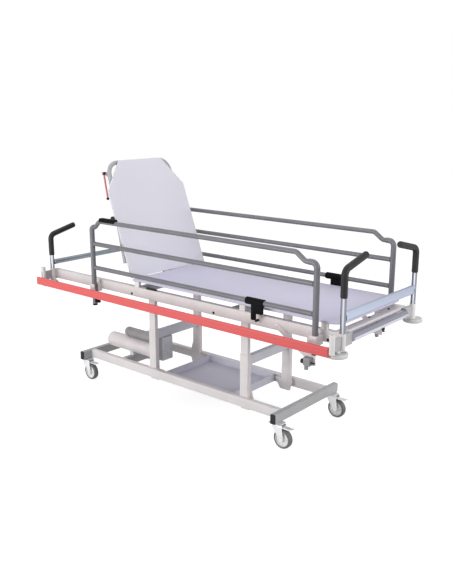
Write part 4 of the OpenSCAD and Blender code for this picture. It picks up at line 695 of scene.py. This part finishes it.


# The posts' chrome, with painted reflection.
chrome = chromed("chrome_with_painted_reflection", CHROME_PAINTED_GLINT, CHROME_PAINTED_DARK_RIM, 0.1)
# End tube chrome: painted reflection, dark above and pale below.
end_tube_painted_reflection = chromed("end_tube_painted_reflection", END_TUBE_PAINTED_LIGHT_BELOW, END_TUBE_PAINTED_DARK_TOP, 0.2, (0.3, 0.9), END_TUBE_PAINTED_DARK_TOP)
disc_plastic = coated("grey_disc_plastic", DISC_GREY, 0.45, grain=450.0, bump=0.18, mottle=20.0)
tube = bmesh.new()
pin(tube, (POST_X, -END_BLOCK_IN_Y, END_TUBE_Z), (0, 1, 0), END_TUBE_R, 2 * END_BLOCK_IN_Y, 0.6, 40)
piece("foot_end_tube", tube, "lift", "bright_chrome", end_tube_painted_reflection, "end_tube")
sockets = bmesh.new()
for end, end_name in ((-1, "head_"), (1, "foot_")):
    for side, side_name in ((-1, "near"), (1, "far")):
        x, y = end * POST_X, side * POST_Y
        disc_at = (end * DISC_X, side * DISC_Y, DISC_LOW)
        lathe(sockets, SOCKET_PROFILE, (x, y, SOCKET_LOW), steps=32)
        plate(sockets, [(end * DISC_X + u, side * 337.5 + v) for u, v in section(30, 60, 6)], SOCKET_LOW,
              SOCKET_LOW + 6)
        pin(sockets, (*disc_at[:2], 574), (0, 0, 1), 5.9, 26, 0.5)
        hex_bolt(sockets, (*disc_at[:2], 575.5), (0, 0, -1), 13, 4)
        bead(sockets, [(x - end * 12, y - side * 12.5, z) for z in (RAIL_LOW + 4, RAIL_HIGH - 2)])
        disc = bmesh.new()
        lathe(disc, DISC_PROFILE, disc_at, steps=64)
        corner = end_name + side_name
        piece("buffer_disc_moulding_" + corner, disc, "disc_" + corner, "disc_plastic", disc_plastic,
              "buffer_disc_" + corner)
piece("corner_post_sockets", sockets, "lift", "frame_paint", frame_coat, "corner_sockets")

# Pole sockets and side buffer: a round socket outboard of each near corner takes an infusion pole, and
# the two carry a soft red profile along the near side, with two grooves along its face.
BUFFER_RED = (0.75, 0.128, 0.126), (0.71, 0.135, 0.132)
POLE_R, POLE_BORE_R, POLE_LOW, STRIP_IN_Y = 12.5, 8.25, 600, 404
POLES = ((-POST_X, 391.5, STRIP_IN_Y), (POST_X, 405, 396))
POLE_PROFILE = [(POLE_BORE_R, 0), (11.6, 0), (POLE_R, 0.9), (POLE_R, 88.4), (11.4, 90), (9.2, 90),
                (POLE_BORE_R, 89), (POLE_BORE_R, 0)]
STRIP_OUTLINE = [(404, 585.6), (404.6, 585), (411, 585), (415, 587.5), (416, 591), (416, 597), (414.8, 598.2),
                 (414.8, 600.2), (416, 601.4), (416, 613.6), (414.8, 614.8), (414.8, 616.8), (416, 618),
                 (416, 624), (415, 627.5), (411, 630), (404.6, 630), (404, 629.4)]
red_profile = coated("red_buffer_profile", BUFFER_RED, 0.55, grain=600.0, mottle=6.0,
                     specular=0.3)
poles, webs, strip = (bmesh.new() for i in range(3))
for x, y, web_y in POLES:
    lathe(poles, POLE_PROFILE, (x, -y, POLE_LOW), steps=32)
    box_tube(webs, (x - 5, -web_y, 613), (x + 5, -POST_Y - 12, RAIL_HIGH), 1, 1.5)
    bead(webs, [(x + 5.5, -POST_Y - 14.5, z) for z in (615, 664)])
box_tube(poles, (980, -STRIP_IN_Y, 600), (1000, -394, 628), 0, 1.5)
piece("pole_socket_tubes", poles, "lift", "frame_paint", frame_coat, "pole_sockets")
# The webs take the darker coat, painted shade.
piece("pole_socket_webs", webs, "lift", "frame_paint", cross_shaded_paint)
plate(strip, STRIP_OUTLINE, -1045, 994, lambda u, v, w: (w, -u, v), 0.4)
piece("buffer_profile", strip, "lift", "red_buffer", red_profile, "buffer_strip")

# Guides, stays and locks: coated C-shaped guides on the frame rails steer the side rails' uprights, a
# flat diagonal stay carries the lock block, and a sprung plunger with a round black knob locks the rail.
GUIDE_X, GUIDE_LOW, GUIDE_HIGH = (-606, 880), 600, 645
GUIDE_BORE_R, GUIDE_MOUTH, GUIDE_AXIS = 14.4, 12.75, 40
STAY = [(634, 645), (650, 645), (850, 520), (861, 508), (861, 487), (814, 487), (814, 512), (630, 628),
        (629, 638)]
LOCK_PLATE = [(814, 487), (861, 487), (861, 632), (858, 635), (817, 635), (814, 632)]
LOCK_X, LOCK_Y, LOCK_Z = 814, 318, 503.8
KNOB_PROFILE = [(0, -18.3), (8, -18.3), (10.6, -17), (11.4, -14), (11.4, -6), (10, -3.4), (7, -2), (7, -0.4),
                (0, -0.4)]
LOCK_GREY = (0.27, 0.27, 0.28), (0.21, 0.21, 0.22)
lock_coat = coated("lock_block_coat", LOCK_GREY, 0.42, mottle=20.0)


def guide_outline():
    """C-shape round an upright, open towards +X: X from the upright and distance out from the frame rail."""
    points = [(18, 0), (-16, 0), (-18, 2), (-18, 56), (-16, 58), (18, 58), (18, GUIDE_AXIS + GUIDE_MOUTH)]
    start = degrees(asin(GUIDE_MOUTH / GUIDE_BORE_R))
    for i in range(17):
        a = radians(start + (360 - 2 * start) * i / 16)
        points.append((GUIDE_BORE_R * cos(a), GUIDE_AXIS + GUIDE_BORE_R * sin(a)))
    return points + [(18, GUIDE_AXIS - GUIDE_MOUTH)]


guides, stays, locks, screws = (bmesh.new() for i in range(4))
for side in (-1, 1):
    for x, inward in zip(GUIDE_X, (1, -1)):
        plate(guides, [(x + inward * u, side * (RAIL_OUT_Y + v)) for u, v in guide_outline()], GUIDE_LOW,
              GUIDE_HIGH, edge=0.6)
        for z in (612, 633):
            hex_bolt(screws, (x - inward * 5, side * 358, z), (0, side, 0), 5, 2.6)
    plate(stays, STAY, 300, 305, outward(side))
    plate(stays, LOCK_PLATE, 300.4, 304.6, outward(side))
    box_tube(locks, (LOCK_X, side * 305, 488), (LOCK_X + 33, side * 331, 527), 0)
    lathe(locks, [(0, 0), (8, 0), (10, 1.5), (10, 20), (0, 20)], (824, side * LOCK_Y, 467), steps=28)
    lathe(locks, [(5, -1.5), (8, -1.5), (8, 0), (5, 0), (5, -1.5)], (LOCK_X, side * LOCK_Y, LOCK_Z),
          (1, 0, 0), 24)
    for x, z in ((645, 635), (826, 610), (850, 610)):
        hex_bolt(screws, (x, side * 305, z), (0, side, 0), 8, 3.6)
piece("rail_guide_brackets", guides, "lift", "frame_paint", frame_coat, "rail_guides")
piece("diagonal_stays", stays, "lift", "frame_paint", frame_coat, "rail_stays")
piece("lock_blocks", locks, "lift", "frame_paint", lock_coat)
piece("guide_and_stay_screws", screws, "lift", "castor_plate_steel", zinc)
for name, side in (("near", -1), ("far", 1)):
    plunger = bmesh.new()
    pin(plunger, (LOCK_X - 12, side * LOCK_Y, LOCK_Z), (1, 0, 0), 3.98, 66, 1.2)
    lathe(plunger, KNOB_PROFILE, (LOCK_X, side * LOCK_Y, LOCK_Z), (1, 0, 0), 32)
    piece("lock_plunger_knob_" + name, plunger, "plunger_" + name, "black_plastic", black_moulding,
          "lock_plunger_" + name)

# Small fittings of the frame, moulded black: blind plugs and open-end caps in the rails, cap screws on
# the foot beam, rubber pegs that hold the latches off the rail, a clamp lever and a knurled knob.
PLUG = [(0, 0), (7, 0), (7, 1), (5.6, 2.4), (0, 2.8)]
PEG = [(0, 0), (6, 0), (6, 19), (4.6, 22), (0, 22)]
CAP_SCREW = [(0, 0), (6, 0), (6, 2.6), (4.8, 4), (2.6, 4), (2.6, 2), (0, 2)]
CLAMP = [(-226, 665), (-154, 665), (-154, 669), (-166, 675), (-214, 676), (-224, 675), (-226, 672)]
FOOT_KNOB, FOOT_KNOB_Y = [(0, 0), (5.5, 0), (7.5, 1.6), (7.5, 12), (6, 14), (6, 17), (0, 17)], 36


def along_y(u, v, w):
    """Outline drawn in X and Z, raised along Y."""
    return (u, w, v)


fittings = bmesh.new()
for side in (-1, 1):
    for x in (-340, 254, 921):
        lathe(fittings, PLUG, (x, side * (RAIL_OUT_Y - 0.2), 623), (0, side, 0), 24)
    lathe(fittings, PEG, (534, side * RAIL_OUT_Y, 640), (0, side, 0), 24)
    box_tube(fittings, (RAIL_HEAD_X - 3, side * RAIL_OUT_Y, RAIL_LOW),
             (RAIL_HEAD_X, side * RAIL_IN_Y, RAIL_HIGH), 0)
for y in (0, 186):
    lathe(fittings, CAP_SCREW, (952, y, RAIL_HIGH), steps=24)
plate(fittings, CLAMP, -RAIL_OUT_Y, -289, along_y, 1.5)
lathe(fittings, [(0, 0), (3.5, 0), (3.5, 1.2), (0, 1.2)], (-218, -RAIL_OUT_Y, 670.5), (0, -1, 0), 20)
lathe(fittings, FOOT_KNOB, (POST_X, FOOT_KNOB_Y, 606), steps=24)
for u, v in around(7, 12):
    pin(fittings, (POST_X + u, FOOT_KNOB_Y + v, 608), (0, 0, 1), 0.7, 9, 0.2, 6)
piece("frame_small_fittings", fittings, "lift", "black_plastic", black_moulding, "frame_fasteners")

# Seat board and hinges: a 12 mm compact laminate board that X-rays pass through, lilac grey on both
# faces, with a rounded edge. It rests on white stand-off blocks and ends in three zinc hinges, and a
# thin strip closes the joint from below.
BOARD_LILAC = (0.60, 0.58, 0.72), (0.575, 0.555, 0.695)
BOARD_TOP, BOARD_LOW, BOARD_T = 705, 693, 12
SEAT_HEAD_X, SEAT_FOOT_X, BOARD_HALF, SEAT_CORNER = -337, 973, 293, 60
STANDOFF_WHITE = (0.80, 0.80, 0.79), (0.72, 0.72, 0.71)
HINGE_X, HINGE_Z, HINGE_Y, LEAF_LOW = -344, 699, (-211, 0, 211), 690.5
LEAF = ((0, -42), (42, -42), (44, -40), (44, 40), (42, 42), (0, 42))
LEAF_SCREWS = ((22, -28), (22, 0), (22, 28), (36, -14), (36, 14))


def board_finish(name, colours):
    """Matt laminate: a faint cloud and a fine pebble grain that breaks up its sheen."""
    return coated(name, colours, 0.5, grain=1100.0, bump=0.14, mottle=2.6, spread=0.16)


seat_laminate = board_finish("seat_laminate", BOARD_LILAC)
standoff = coated("white_standoff", STANDOFF_WHITE, 0.5, grain=500.0, mottle=30.0)
seat, blocks, hinges = (bmesh.new() for i in range(3))
corners = [(SEAT_HEAD_X, -BOARD_HALF)]
for centre_y, start in ((-BOARD_HALF + SEAT_CORNER, 270), (BOARD_HALF - SEAT_CORNER, 0)):
    for i in range(13):
        a = radians(start + 90 * i / 12)
        corners.append((SEAT_FOOT_X - SEAT_CORNER + SEAT_CORNER * cos(a),
                        centre_y + SEAT_CORNER * sin(a)))
corners.append((SEAT_HEAD_X, BOARD_HALF))
plate(seat, corners, BOARD_LOW, BOARD_TOP, edge=2)
plate(seat, [(-353, -286), (-330, -286), (-330, 286), (-353, 286)], 689.4, 690.4, edge=0.3)
piece("seat_laminate_board", seat, "lift", "board_laminate", seat_laminate, "seat_board")
for side in (-1, 1):
    for x in (-306, 430, 895):
        box_tube(blocks, (x - 17, side * 285 - 9, RAIL_HIGH), (x + 17, side * 285 + 9, BOARD_LOW), 2, 3)
for y in HINGE_Y:
    for side in (-1, 1):
        pin(hinges, (HINGE_X, y + side * 29 - 13, HINGE_Z), (0, 1, 0), 6, 26, 0.6)
    pin(hinges, (HINGE_X, y - 43, HINGE_Z), (0, 1, 0), 3, 86, 0.5)
    plate(hinges, [(HINGE_X + 2 + u, y + v) for u, v in LEAF], LEAF_LOW, BOARD_LOW, edge=0.5)
    for u, v in LEAF_SCREWS:
        lathe(hinges, [(0, 0), (4, 0), (3.4, 1.2), (0, 1.6)], (HINGE_X + u, y + v, LEAF_LOW), (0, 0, -1), 16)
piece("standoff_blocks", blocks, "lift", "frame_paint", standoff, "board_supports")
piece("seat_hinge_leaves", hinges, "lift", "ram_steel", zinc, "seat_hinges")

# Backrest: the same laminate cut narrower towards the head, screwed on pads to a bent grey tube with a
# cross tube, hinge leaves and two open rings. Its laminate is a lighter copy of the seat's, painted light.
# It stands at 70 degrees and swings down about the hinges.
BACK_ANGLE = radians(70)
# Backrest laminate: a lighter copy of the seat's, painted light.
BACKREST_LILAC_PAINTED_LIGHT = (0.72, 0.71, 0.78), (0.695, 0.685, 0.755)
BACK_START, BACK_FULL, BACK_LENGTH, BACK_TOP_HALF = -7, -496, -661, 160
HOOP_GREY = (0.40, 0.40, 0.415), (0.35, 0.35, 0.365)
HOOP_Z, HOOP_R, HOOP_BEND = -19, 12, 70
HOOP_FOOT, HOOP_TOP = (-97, 290), (-655, 226)
PAD_TOP, GAS_ARM_X, GAS_ARM_Z = -6, -220, -62


def on_backrest(x, y, z):
    """Point of the backrest, drawn lying flat from its hinge, at the angle where it stands."""
    c, s = cos(BACK_ANGLE), sin(BACK_ANGLE)
    return (HINGE_X + x * c + z * s, y, HINGE_Z - x * s + z * c)


def bent_path(points, radii, steps=8):
    """Path through points with each inner corner rounded to its radius."""
    spots = [Vector(p) for p in points]
    path = [spots[0]]
    for before, spot, after, radius in zip(spots, spots[1:], spots[2:], radii):
        back, ahead = (before - spot).normalized(), (after - spot).normalized()
        half = back.angle(ahead) / 2
        middle = spot + (back + ahead).normalized() * radius / sin(half)
        enter, leave = spot + back * radius / tan(half), spot + ahead * radius / tan(half)
        for i in range(steps + 1):
            path.append(middle + (enter - middle).slerp(leave - middle, i / steps).normalized() * radius)
    return path + [spots[-1]]


def weld_ring(bm, radius, thick, place, steps=24):
    """Closed weld bead round a tube, set by place(u, v)."""
    sweep(bm, [place(u, v) for u, v in around(radius, steps)], thick, 8, closed=True)


def hoop_half(x):
    """Half the distance between the hoop's legs at x, drawn flat."""
    return HOOP_FOOT[1] + (HOOP_TOP[1] - HOOP_FOOT[1]) * (x - HOOP_FOOT[0]) / (HOOP_TOP[0] - HOOP_FOOT[0])


def flat_box(bm, low, high, corner=2):
    """Rounded block drawn flat on the backrest, between two corners."""
    middle_x, middle_y = (low[0] + high[0]) / 2, (low[1] + high[1]) / 2
    outline = [(middle_x + u, middle_y + v) for u, v in section(high[0] - low[0], high[1] - low[1], corner)]
    plate(bm, outline, low[2], high[2], on_backrest)


# The backrest's laminate is painted light: a lighter copy of the seat's.
backrest_painted_light_laminate = board_finish("backrest_laminate", BACKREST_LILAC_PAINTED_LIGHT)
hoop_coat = coated("hoop_coat", HOOP_GREY, 0.4, mottle=8.0)
back, hoop = bmesh.new(), bmesh.new()
outline = [(BACK_START, -BOARD_HALF), (BACK_FULL, -BOARD_HALF), (BACK_LENGTH, -BACK_TOP_HALF),
           (BACK_LENGTH, BACK_TOP_HALF), (BACK_FULL, BOARD_HALF), (BACK_START, BOARD_HALF)]
plate(back, outline, -BOARD_T / 2, BOARD_T / 2, on_backrest, 2)
piece("backrest_laminate_board", back, "backrest", "board_laminate", backrest_painted_light_laminate, "backrest_board")
legs = ((HOOP_FOOT, -1), (HOOP_TOP, -1), (HOOP_TOP, 1), (HOOP_FOOT, 1))
bar = bent_path([(x, side * half, HOOP_Z) for (x, half), side in legs], (HOOP_BEND, HOOP_BEND))
sweep(hoop, [on_backrest(*p) for p in bar], HOOP_R, 28)
sweep(hoop, [on_backrest(GAS_ARM_X, y, HOOP_Z) for y in (-270, 270)], HOOP_R, 24)
for side in (-1, 1):
    for x in (-178.5, -482.5):
        y = side * hoop_half(x)
        flat_box(hoop, (x - 22, y - 7, HOOP_Z), (x + 22, y + 7, PAD_TOP))
    flat_box(hoop, (-662, side * 110 - 22, HOOP_Z), (-648, side * 110 + 22, PAD_TOP))
    weld_ring(hoop, 12.6, 2, lambda u, v: on_backrest(GAS_ARM_X + u, side * 264, HOOP_Z + v), 20)
    flat_box(hoop, (GAS_ARM_X - 12, side * 15 - 2.5, GAS_ARM_Z + 18),
             (GAS_ARM_X + 12, side * 15 + 2.5, HOOP_Z), 1)
    lathe(hoop, mirrored([(15, -2.5), (21.4, -2.5), (22, -1.9)]),
          on_backrest(GAS_ARM_X, side * 15, GAS_ARM_Z), (0, 1, 0))
for y in HINGE_Y:
    pin(hoop, (HINGE_X, y - 15.6, HINGE_Z), (0, 1, 0), 6, 31.2, 0.6)
    flat_box(hoop, (-46, y - 15.7, -8.5), (-3, y + 15.7, PAD_TOP), 1)
piece("backrest_tube_frame", hoop, "backrest", "hoop_paint", hoop_coat, "backrest_frame")

# Release lever: an ear on the hoop's near leg carries a thin red bar on a pin, with a black knob at
# either end. Squeezed towards the hoop, it frees the gas spring.
LEVER_RED = (0.70, 0.16, 0.16), (0.62, 0.15, 0.15)
LEVER_TOP, LEVER_END, LEVER_Y = (-610, -56), (-472, -78), -240
EAR = [(-610, -64), (-618, -56), (-612, -30), (-606, HOOP_Z), (-562, HOOP_Z), (-603, -60)]
BALL = [(0, -8.5), (4.2, -7.4), (7.4, -4.2), (8.5, 0), (7.4, 4.2), (4.2, 7.4), (0, 8.5)]
lever_paint = coated("red_lever_coat", LEVER_RED, 0.3, mottle=30.0)
ear, lever, knobs = (bmesh.new() for i in range(3))
plate(ear, EAR, -232.5, -228.5, lambda u, v, w: on_backrest(u, w, v), 0.6)
pin(ear, on_backrest(LEVER_TOP[0], -251.5, LEVER_TOP[1]), (0, 1, 0), 5, 4, 0.6)
pin(ear, on_backrest(LEVER_TOP[0], -248, LEVER_TOP[1]), (0, 1, 0), 2.45, 20, 0.3)
piece("lever_ear", ear, "backrest", "hoop_paint", hoop_coat)
ends = [Vector(on_backrest(x, LEVER_Y, z)) for x, z in (LEVER_TOP, LEVER_END)]
sweep(lever, ends, 5, 20)
piece("release_lever_bar", lever, "lever", "lever_red", lever_paint, "release_lever")
lathe(knobs, mirrored([(2.6, -7), (7.2, -7), (8, -6)]), ends[0], (0, 1, 0), 28)
lathe(knobs, BALL, ends[1], ends[1] - ends[0], 28)
piece("release_lever_knobs", knobs, "lever", "black_plastic", black_moulding)

# Gas spring: a black cylinder on the clevis pin and a bright rod whose pin floats in the backrest's two
# open rings, between thin washers. It holds the backrest from underneath.
GAS_FOOT = Vector((CLEVIS_X, 0, CLEVIS_Z))
GAS_TOP = Vector(on_backrest(GAS_ARM_X, 0, GAS_ARM_Z))
GAS_BLACK = (0.022, 0.022, 0.024), (0.035, 0.035, 0.037)
CYLINDER = [(0, 7), (6, 8), (6, 14), (9.6, 14.4), (11, 16), (11, 178), (10.2, 179), (10.2, 182), (11, 183),
            (11, 186), (9.6, 188), (4.2, 188), (4.1, 170), (0, 170)]
gas_enamel = coated("black_gas_enamel", GAS_BLACK, 0.28, mottle=20.0)
gas_line = (GAS_TOP - GAS_FOOT).normalized()
cylinder, rod = bmesh.new(), bmesh.new()
lathe(cylinder, mirrored([(4.1, -11), (9.2, -11), (10, -10.2)]), GAS_FOOT, (0, 1, 0), 28)
lathe(cylinder, CYLINDER, GAS_FOOT, gas_line, 36)
piece("gas_spring_cylinder", cylinder, "gas_tube", "gas_black", gas_enamel, "gas_cylinder")
pin(rod, GAS_TOP - Vector((0, 11, 0)), (0, 1, 0), 10, 22, 0.8, 28)
pin(rod, GAS_TOP - Vector((0, 18.5, 0)), (0, 1, 0), 4, 37, 0.3)
lathe(rod, [(0, 8), (4, 9), (4, 180), (0, 181)], GAS_TOP, -gas_line, 24)
for side in (-1, 1):
    pin(rod, GAS_TOP + Vector((0, side * 18, 0)), (0, side, 0), 17, 2, 0.5, 32)
piece("gas_spring_rod", rod, "gas_piston", "ram_steel", ram_steel, "gas_rod")

# Side rails: grey coated tubes, the uprights 28 mm and the bars 24 mm, welded. The uprights turn over
# into the stepped top bar; they slide down through the guides. Black caps close their feet.
RAIL_GREY = (0.175, 0.172, 0.192), (0.145, 0.143, 0.158)
PAD_BLACK = (0.003, 0.003, 0.004), (0.006, 0.006, 0.007)
RAIL_Y, UPRIGHT_R, BAR_R = 340, 14, 12
HEAD_X, FOOT_X, HEAD_LOW, FOOT_LOW = -606, 880, 530, 565
LOW_BAR, MID_BAR, ELBOW_Z, TOP_BAR = 739, 874, 968, 1003
PAD_RIBS = ((-527, -486), (-485, -449), (-448, -407))
PAD_OUTLINE = [(-15, TOP_BAR + 1), (-15, 1020), (-12, 1023.5), (0, 1024), (12, 1023.5), (15, 1020),
               (15, TOP_BAR + 1), (12, TOP_BAR + 2), (0, TOP_BAR + 12), (-12, TOP_BAR + 2)]
FOOT_CAP = [(0, -10), (11.5, -10), (13.4, -8.8), (14, -6.5), (14, -0.4), (13.4, 0), (0, 0)]
LUG = [(2, -9), (38, -9), (41, -6), (41, 6), (38, 9), (2, 9)]
LATCH_WEB = [(525, LOW_BAR - 15), (525, 653), (528, 650), (545, 650), (548, 653), (548, 680), (551, 683),
             (586, 683), (591, 688), (591, LOW_BAR - 15)]
rail_coat = coated("grey_rail_coat", RAIL_GREY, 0.36, mottle=6.0)
pad_rubber = coated("black_pad_rubber", PAD_BLACK, 0.6, specular=0.07)
for name, side in (("near", -1), ("far", 1)):
    y = side * RAIL_Y
    rail, trim, latch = (bmesh.new() for i in range(3))
    for x, low, reach, bend in ((HEAD_X, HEAD_LOW, 24, 20), (FOOT_X, FOOT_LOW, -40, 26)):
        sweep(rail, bent_path([(x, y, low), (x, y, ELBOW_Z), (x + reach, y, ELBOW_Z)], (bend,), 12),
              UPRIGHT_R, 28)
    sweep(rail, bent_path([(HEAD_X + 20, y, ELBOW_Z), (HEAD_X + 30, y, ELBOW_Z), (HEAD_X + 65, y, TOP_BAR),
                           (FOOT_X - 110, y, TOP_BAR), (FOOT_X - 62, y, ELBOW_Z), (FOOT_X - 36, y, ELBOW_Z)],
                          (14, 30, 30, 30)), BAR_R, 24)
    for x in (HEAD_X + 24, FOOT_X - 40):
        weld_ring(rail, 12.4, 1.9, lambda u, v: (x, y + u, ELBOW_Z + v))
    for z in (LOW_BAR, MID_BAR):
        sweep(rail, [(HEAD_X + 2, y, z), (FOOT_X - 2, y, z)], BAR_R, 24)
        for x in (HEAD_X + 13.4, FOOT_X - 13.4):
            weld_ring(rail, 12.2, 2, lambda u, v: (x, y + u, z + v))
    piece("side_rail_tubes_" + name, rail, "rail_" + name, "rail_paint", rail_coat, "side_rail_" + name)
    for x, z in ((HEAD_X, HEAD_LOW), (FOOT_X, FOOT_LOW)):
        lathe(trim, FOOT_CAP, (x, y, z), steps=28)
    plate(trim, [(HEAD_X + u, y + v) for u, v in LUG], 540, 566, edge=1.2)
    if side < 0:
        for low, high in PAD_RIBS:
            plate(trim, [(y + u, v) for u, v in PAD_OUTLINE], low, high, along_x, 0.5)
    piece("side_rail_trim_" + name, trim, "rail_" + name, "black_plastic", pad_rubber, "rail_trim_" + name)
    lathe(latch, mirrored([(12.2, -51.5), (16, -51.5), (17.5, -49.9)]), (547.5, y, LOW_BAR), (1, 0, 0), 36)
    plate(latch, LATCH_WEB, y - 7, y + 7, along_y, 2)
    piece("rail_latch_moulding_" + name, latch, "latch_" + name, "black_plastic", pad_rubber,
          "rail_latch_" + name)

# Handle frames: chromed posts plug into the corner sockets, joined by a flat oval bar at the foot and a
# round one at the head, and bend inward at the top under ribbed black rubber grips. The chrome carries a
# painted reflection; the foot bar's is bluish, and the head bar is a darker copy, painted shade.
POST_R, GRIP_R, GRIP_GROOVE_R, POST_LOW = 12.5, 16, 15.2, 600.3
GRIP_BEND, GRIP_REACH, GRIP_LEAN, GRIP_UPRIGHT = 34, 170, 41, 120
FOOT_BAR_Z, FOOT_BAR_R, FOOT_BAR_HALF, HEAD_BAR_Z, HEAD_BAR_R = 748, 11, 12, 711, 15
GRIP_BLACK = (0.016, 0.016, 0.018), (0.026, 0.026, 0.028)
# Foot bar: a bluish painted reflection. Head bar: a darker copy of the same chrome, painted shade.
FOOT_BAR_PAINTED_REFLECTION, FOOT_BAR_PAINTED_REFLECTION_RIM = (0.60, 0.66, 0.80), (0.40, 0.44, 0.55)
HEAD_BAR_PAINTED_SHADE, HEAD_BAR_PAINTED_SHADE_RIM = (0.28, 0.32, 0.36), (0.17, 0.19, 0.215)
# Bar chrome: painted reflection, the head bar's darker as painted shade.
foot_bar_reflection_paint = chromed("foot_bar_painted_reflection", FOOT_BAR_PAINTED_REFLECTION, FOOT_BAR_PAINTED_REFLECTION_RIM, 0.3, (0.12, 0.62))
head_bar_shade_paint = chromed("head_bar_painted_shade", HEAD_BAR_PAINTED_SHADE, HEAD_BAR_PAINTED_SHADE_RIM, 0.25, (0.12, 0.62))
grip_rubber = coated("black_grip_rubber", GRIP_BLACK, 0.5, grain=500.0, bump=0.3, mottle=20.0,
                     specular=0.25)
for name, x, bend_z, bar_metal in (("head", -POST_X, 875, head_bar_shade_paint),
                                   ("foot", POST_X, 952, foot_bar_reflection_paint)):
    posts, grips, crossbar = (bmesh.new() for i in range(3))
    for side in (-1, 1):
        elbow = Vector((x, side * POST_Y, bend_z))
        tip = Vector((x, side * (POST_Y - GRIP_REACH), bend_z + GRIP_LEAN))
        sweep(posts, bent_path([(x, side * POST_Y, POST_LOW), elbow, tip], (GRIP_BEND,), 12), POST_R, 32)
        rough = bent_path([elbow - Vector((0, 0, GRIP_UPRIGHT)), elbow, tip + (tip - elbow).normalized() * 4],
                          (GRIP_BEND,), 12)
        spots, radii = [], []
        for start, end in zip(rough, rough[1:]):
            count = max(round((end - start).length / 3), 1)
            for i in range(count):
                spots.append(start + (end - start) * i / count)
                radii.append(GRIP_R if len(spots) % 2 else GRIP_GROOVE_R)
        sweep(grips, spots + [rough[-1]], [14.5] + radii[1:] + [14], 24)
    if name == "foot":
        outline = [(u, FOOT_BAR_Z + copysign(FOOT_BAR_HALF, v) + v) for u, v in around(FOOT_BAR_R, 32, 0.5)]
        plate(crossbar, outline, -POST_Y + 11, POST_Y - 11, lambda u, v, w: (x + u, w, v), 0)
    else:
        lathe(crossbar, [(0, -POST_Y + 10), (HEAD_BAR_R, -POST_Y + 10), (HEAD_BAR_R, POST_Y - 10),
                         (0, POST_Y - 10)], (x, 0, HEAD_BAR_Z), (0, 1, 0), 36)
    for side in (-1, 1):
        if name == "foot":
            weld_ring(posts, 1, 1.8, lambda u, v: (x + 12 * u, side * (POST_Y - 12), FOOT_BAR_Z + 23 * v))
        else:
            weld_ring(posts, HEAD_BAR_R, 1.8, lambda u, v: (x + u, side * (POST_Y - 11), HEAD_BAR_Z + v))
    piece("handle_posts_" + name, posts, "handle_" + name, "bright_chrome", chrome, "handle_frame_" + name)
    piece("handle_crossbar_" + name, crossbar, "handle_" + name, "bright_chrome", bar_metal)
    piece("handle_grip_sleeves_" + name, grips, "handle_" + name, "grip_rubber", grip_rubber,
          "handle_grips_" + name)
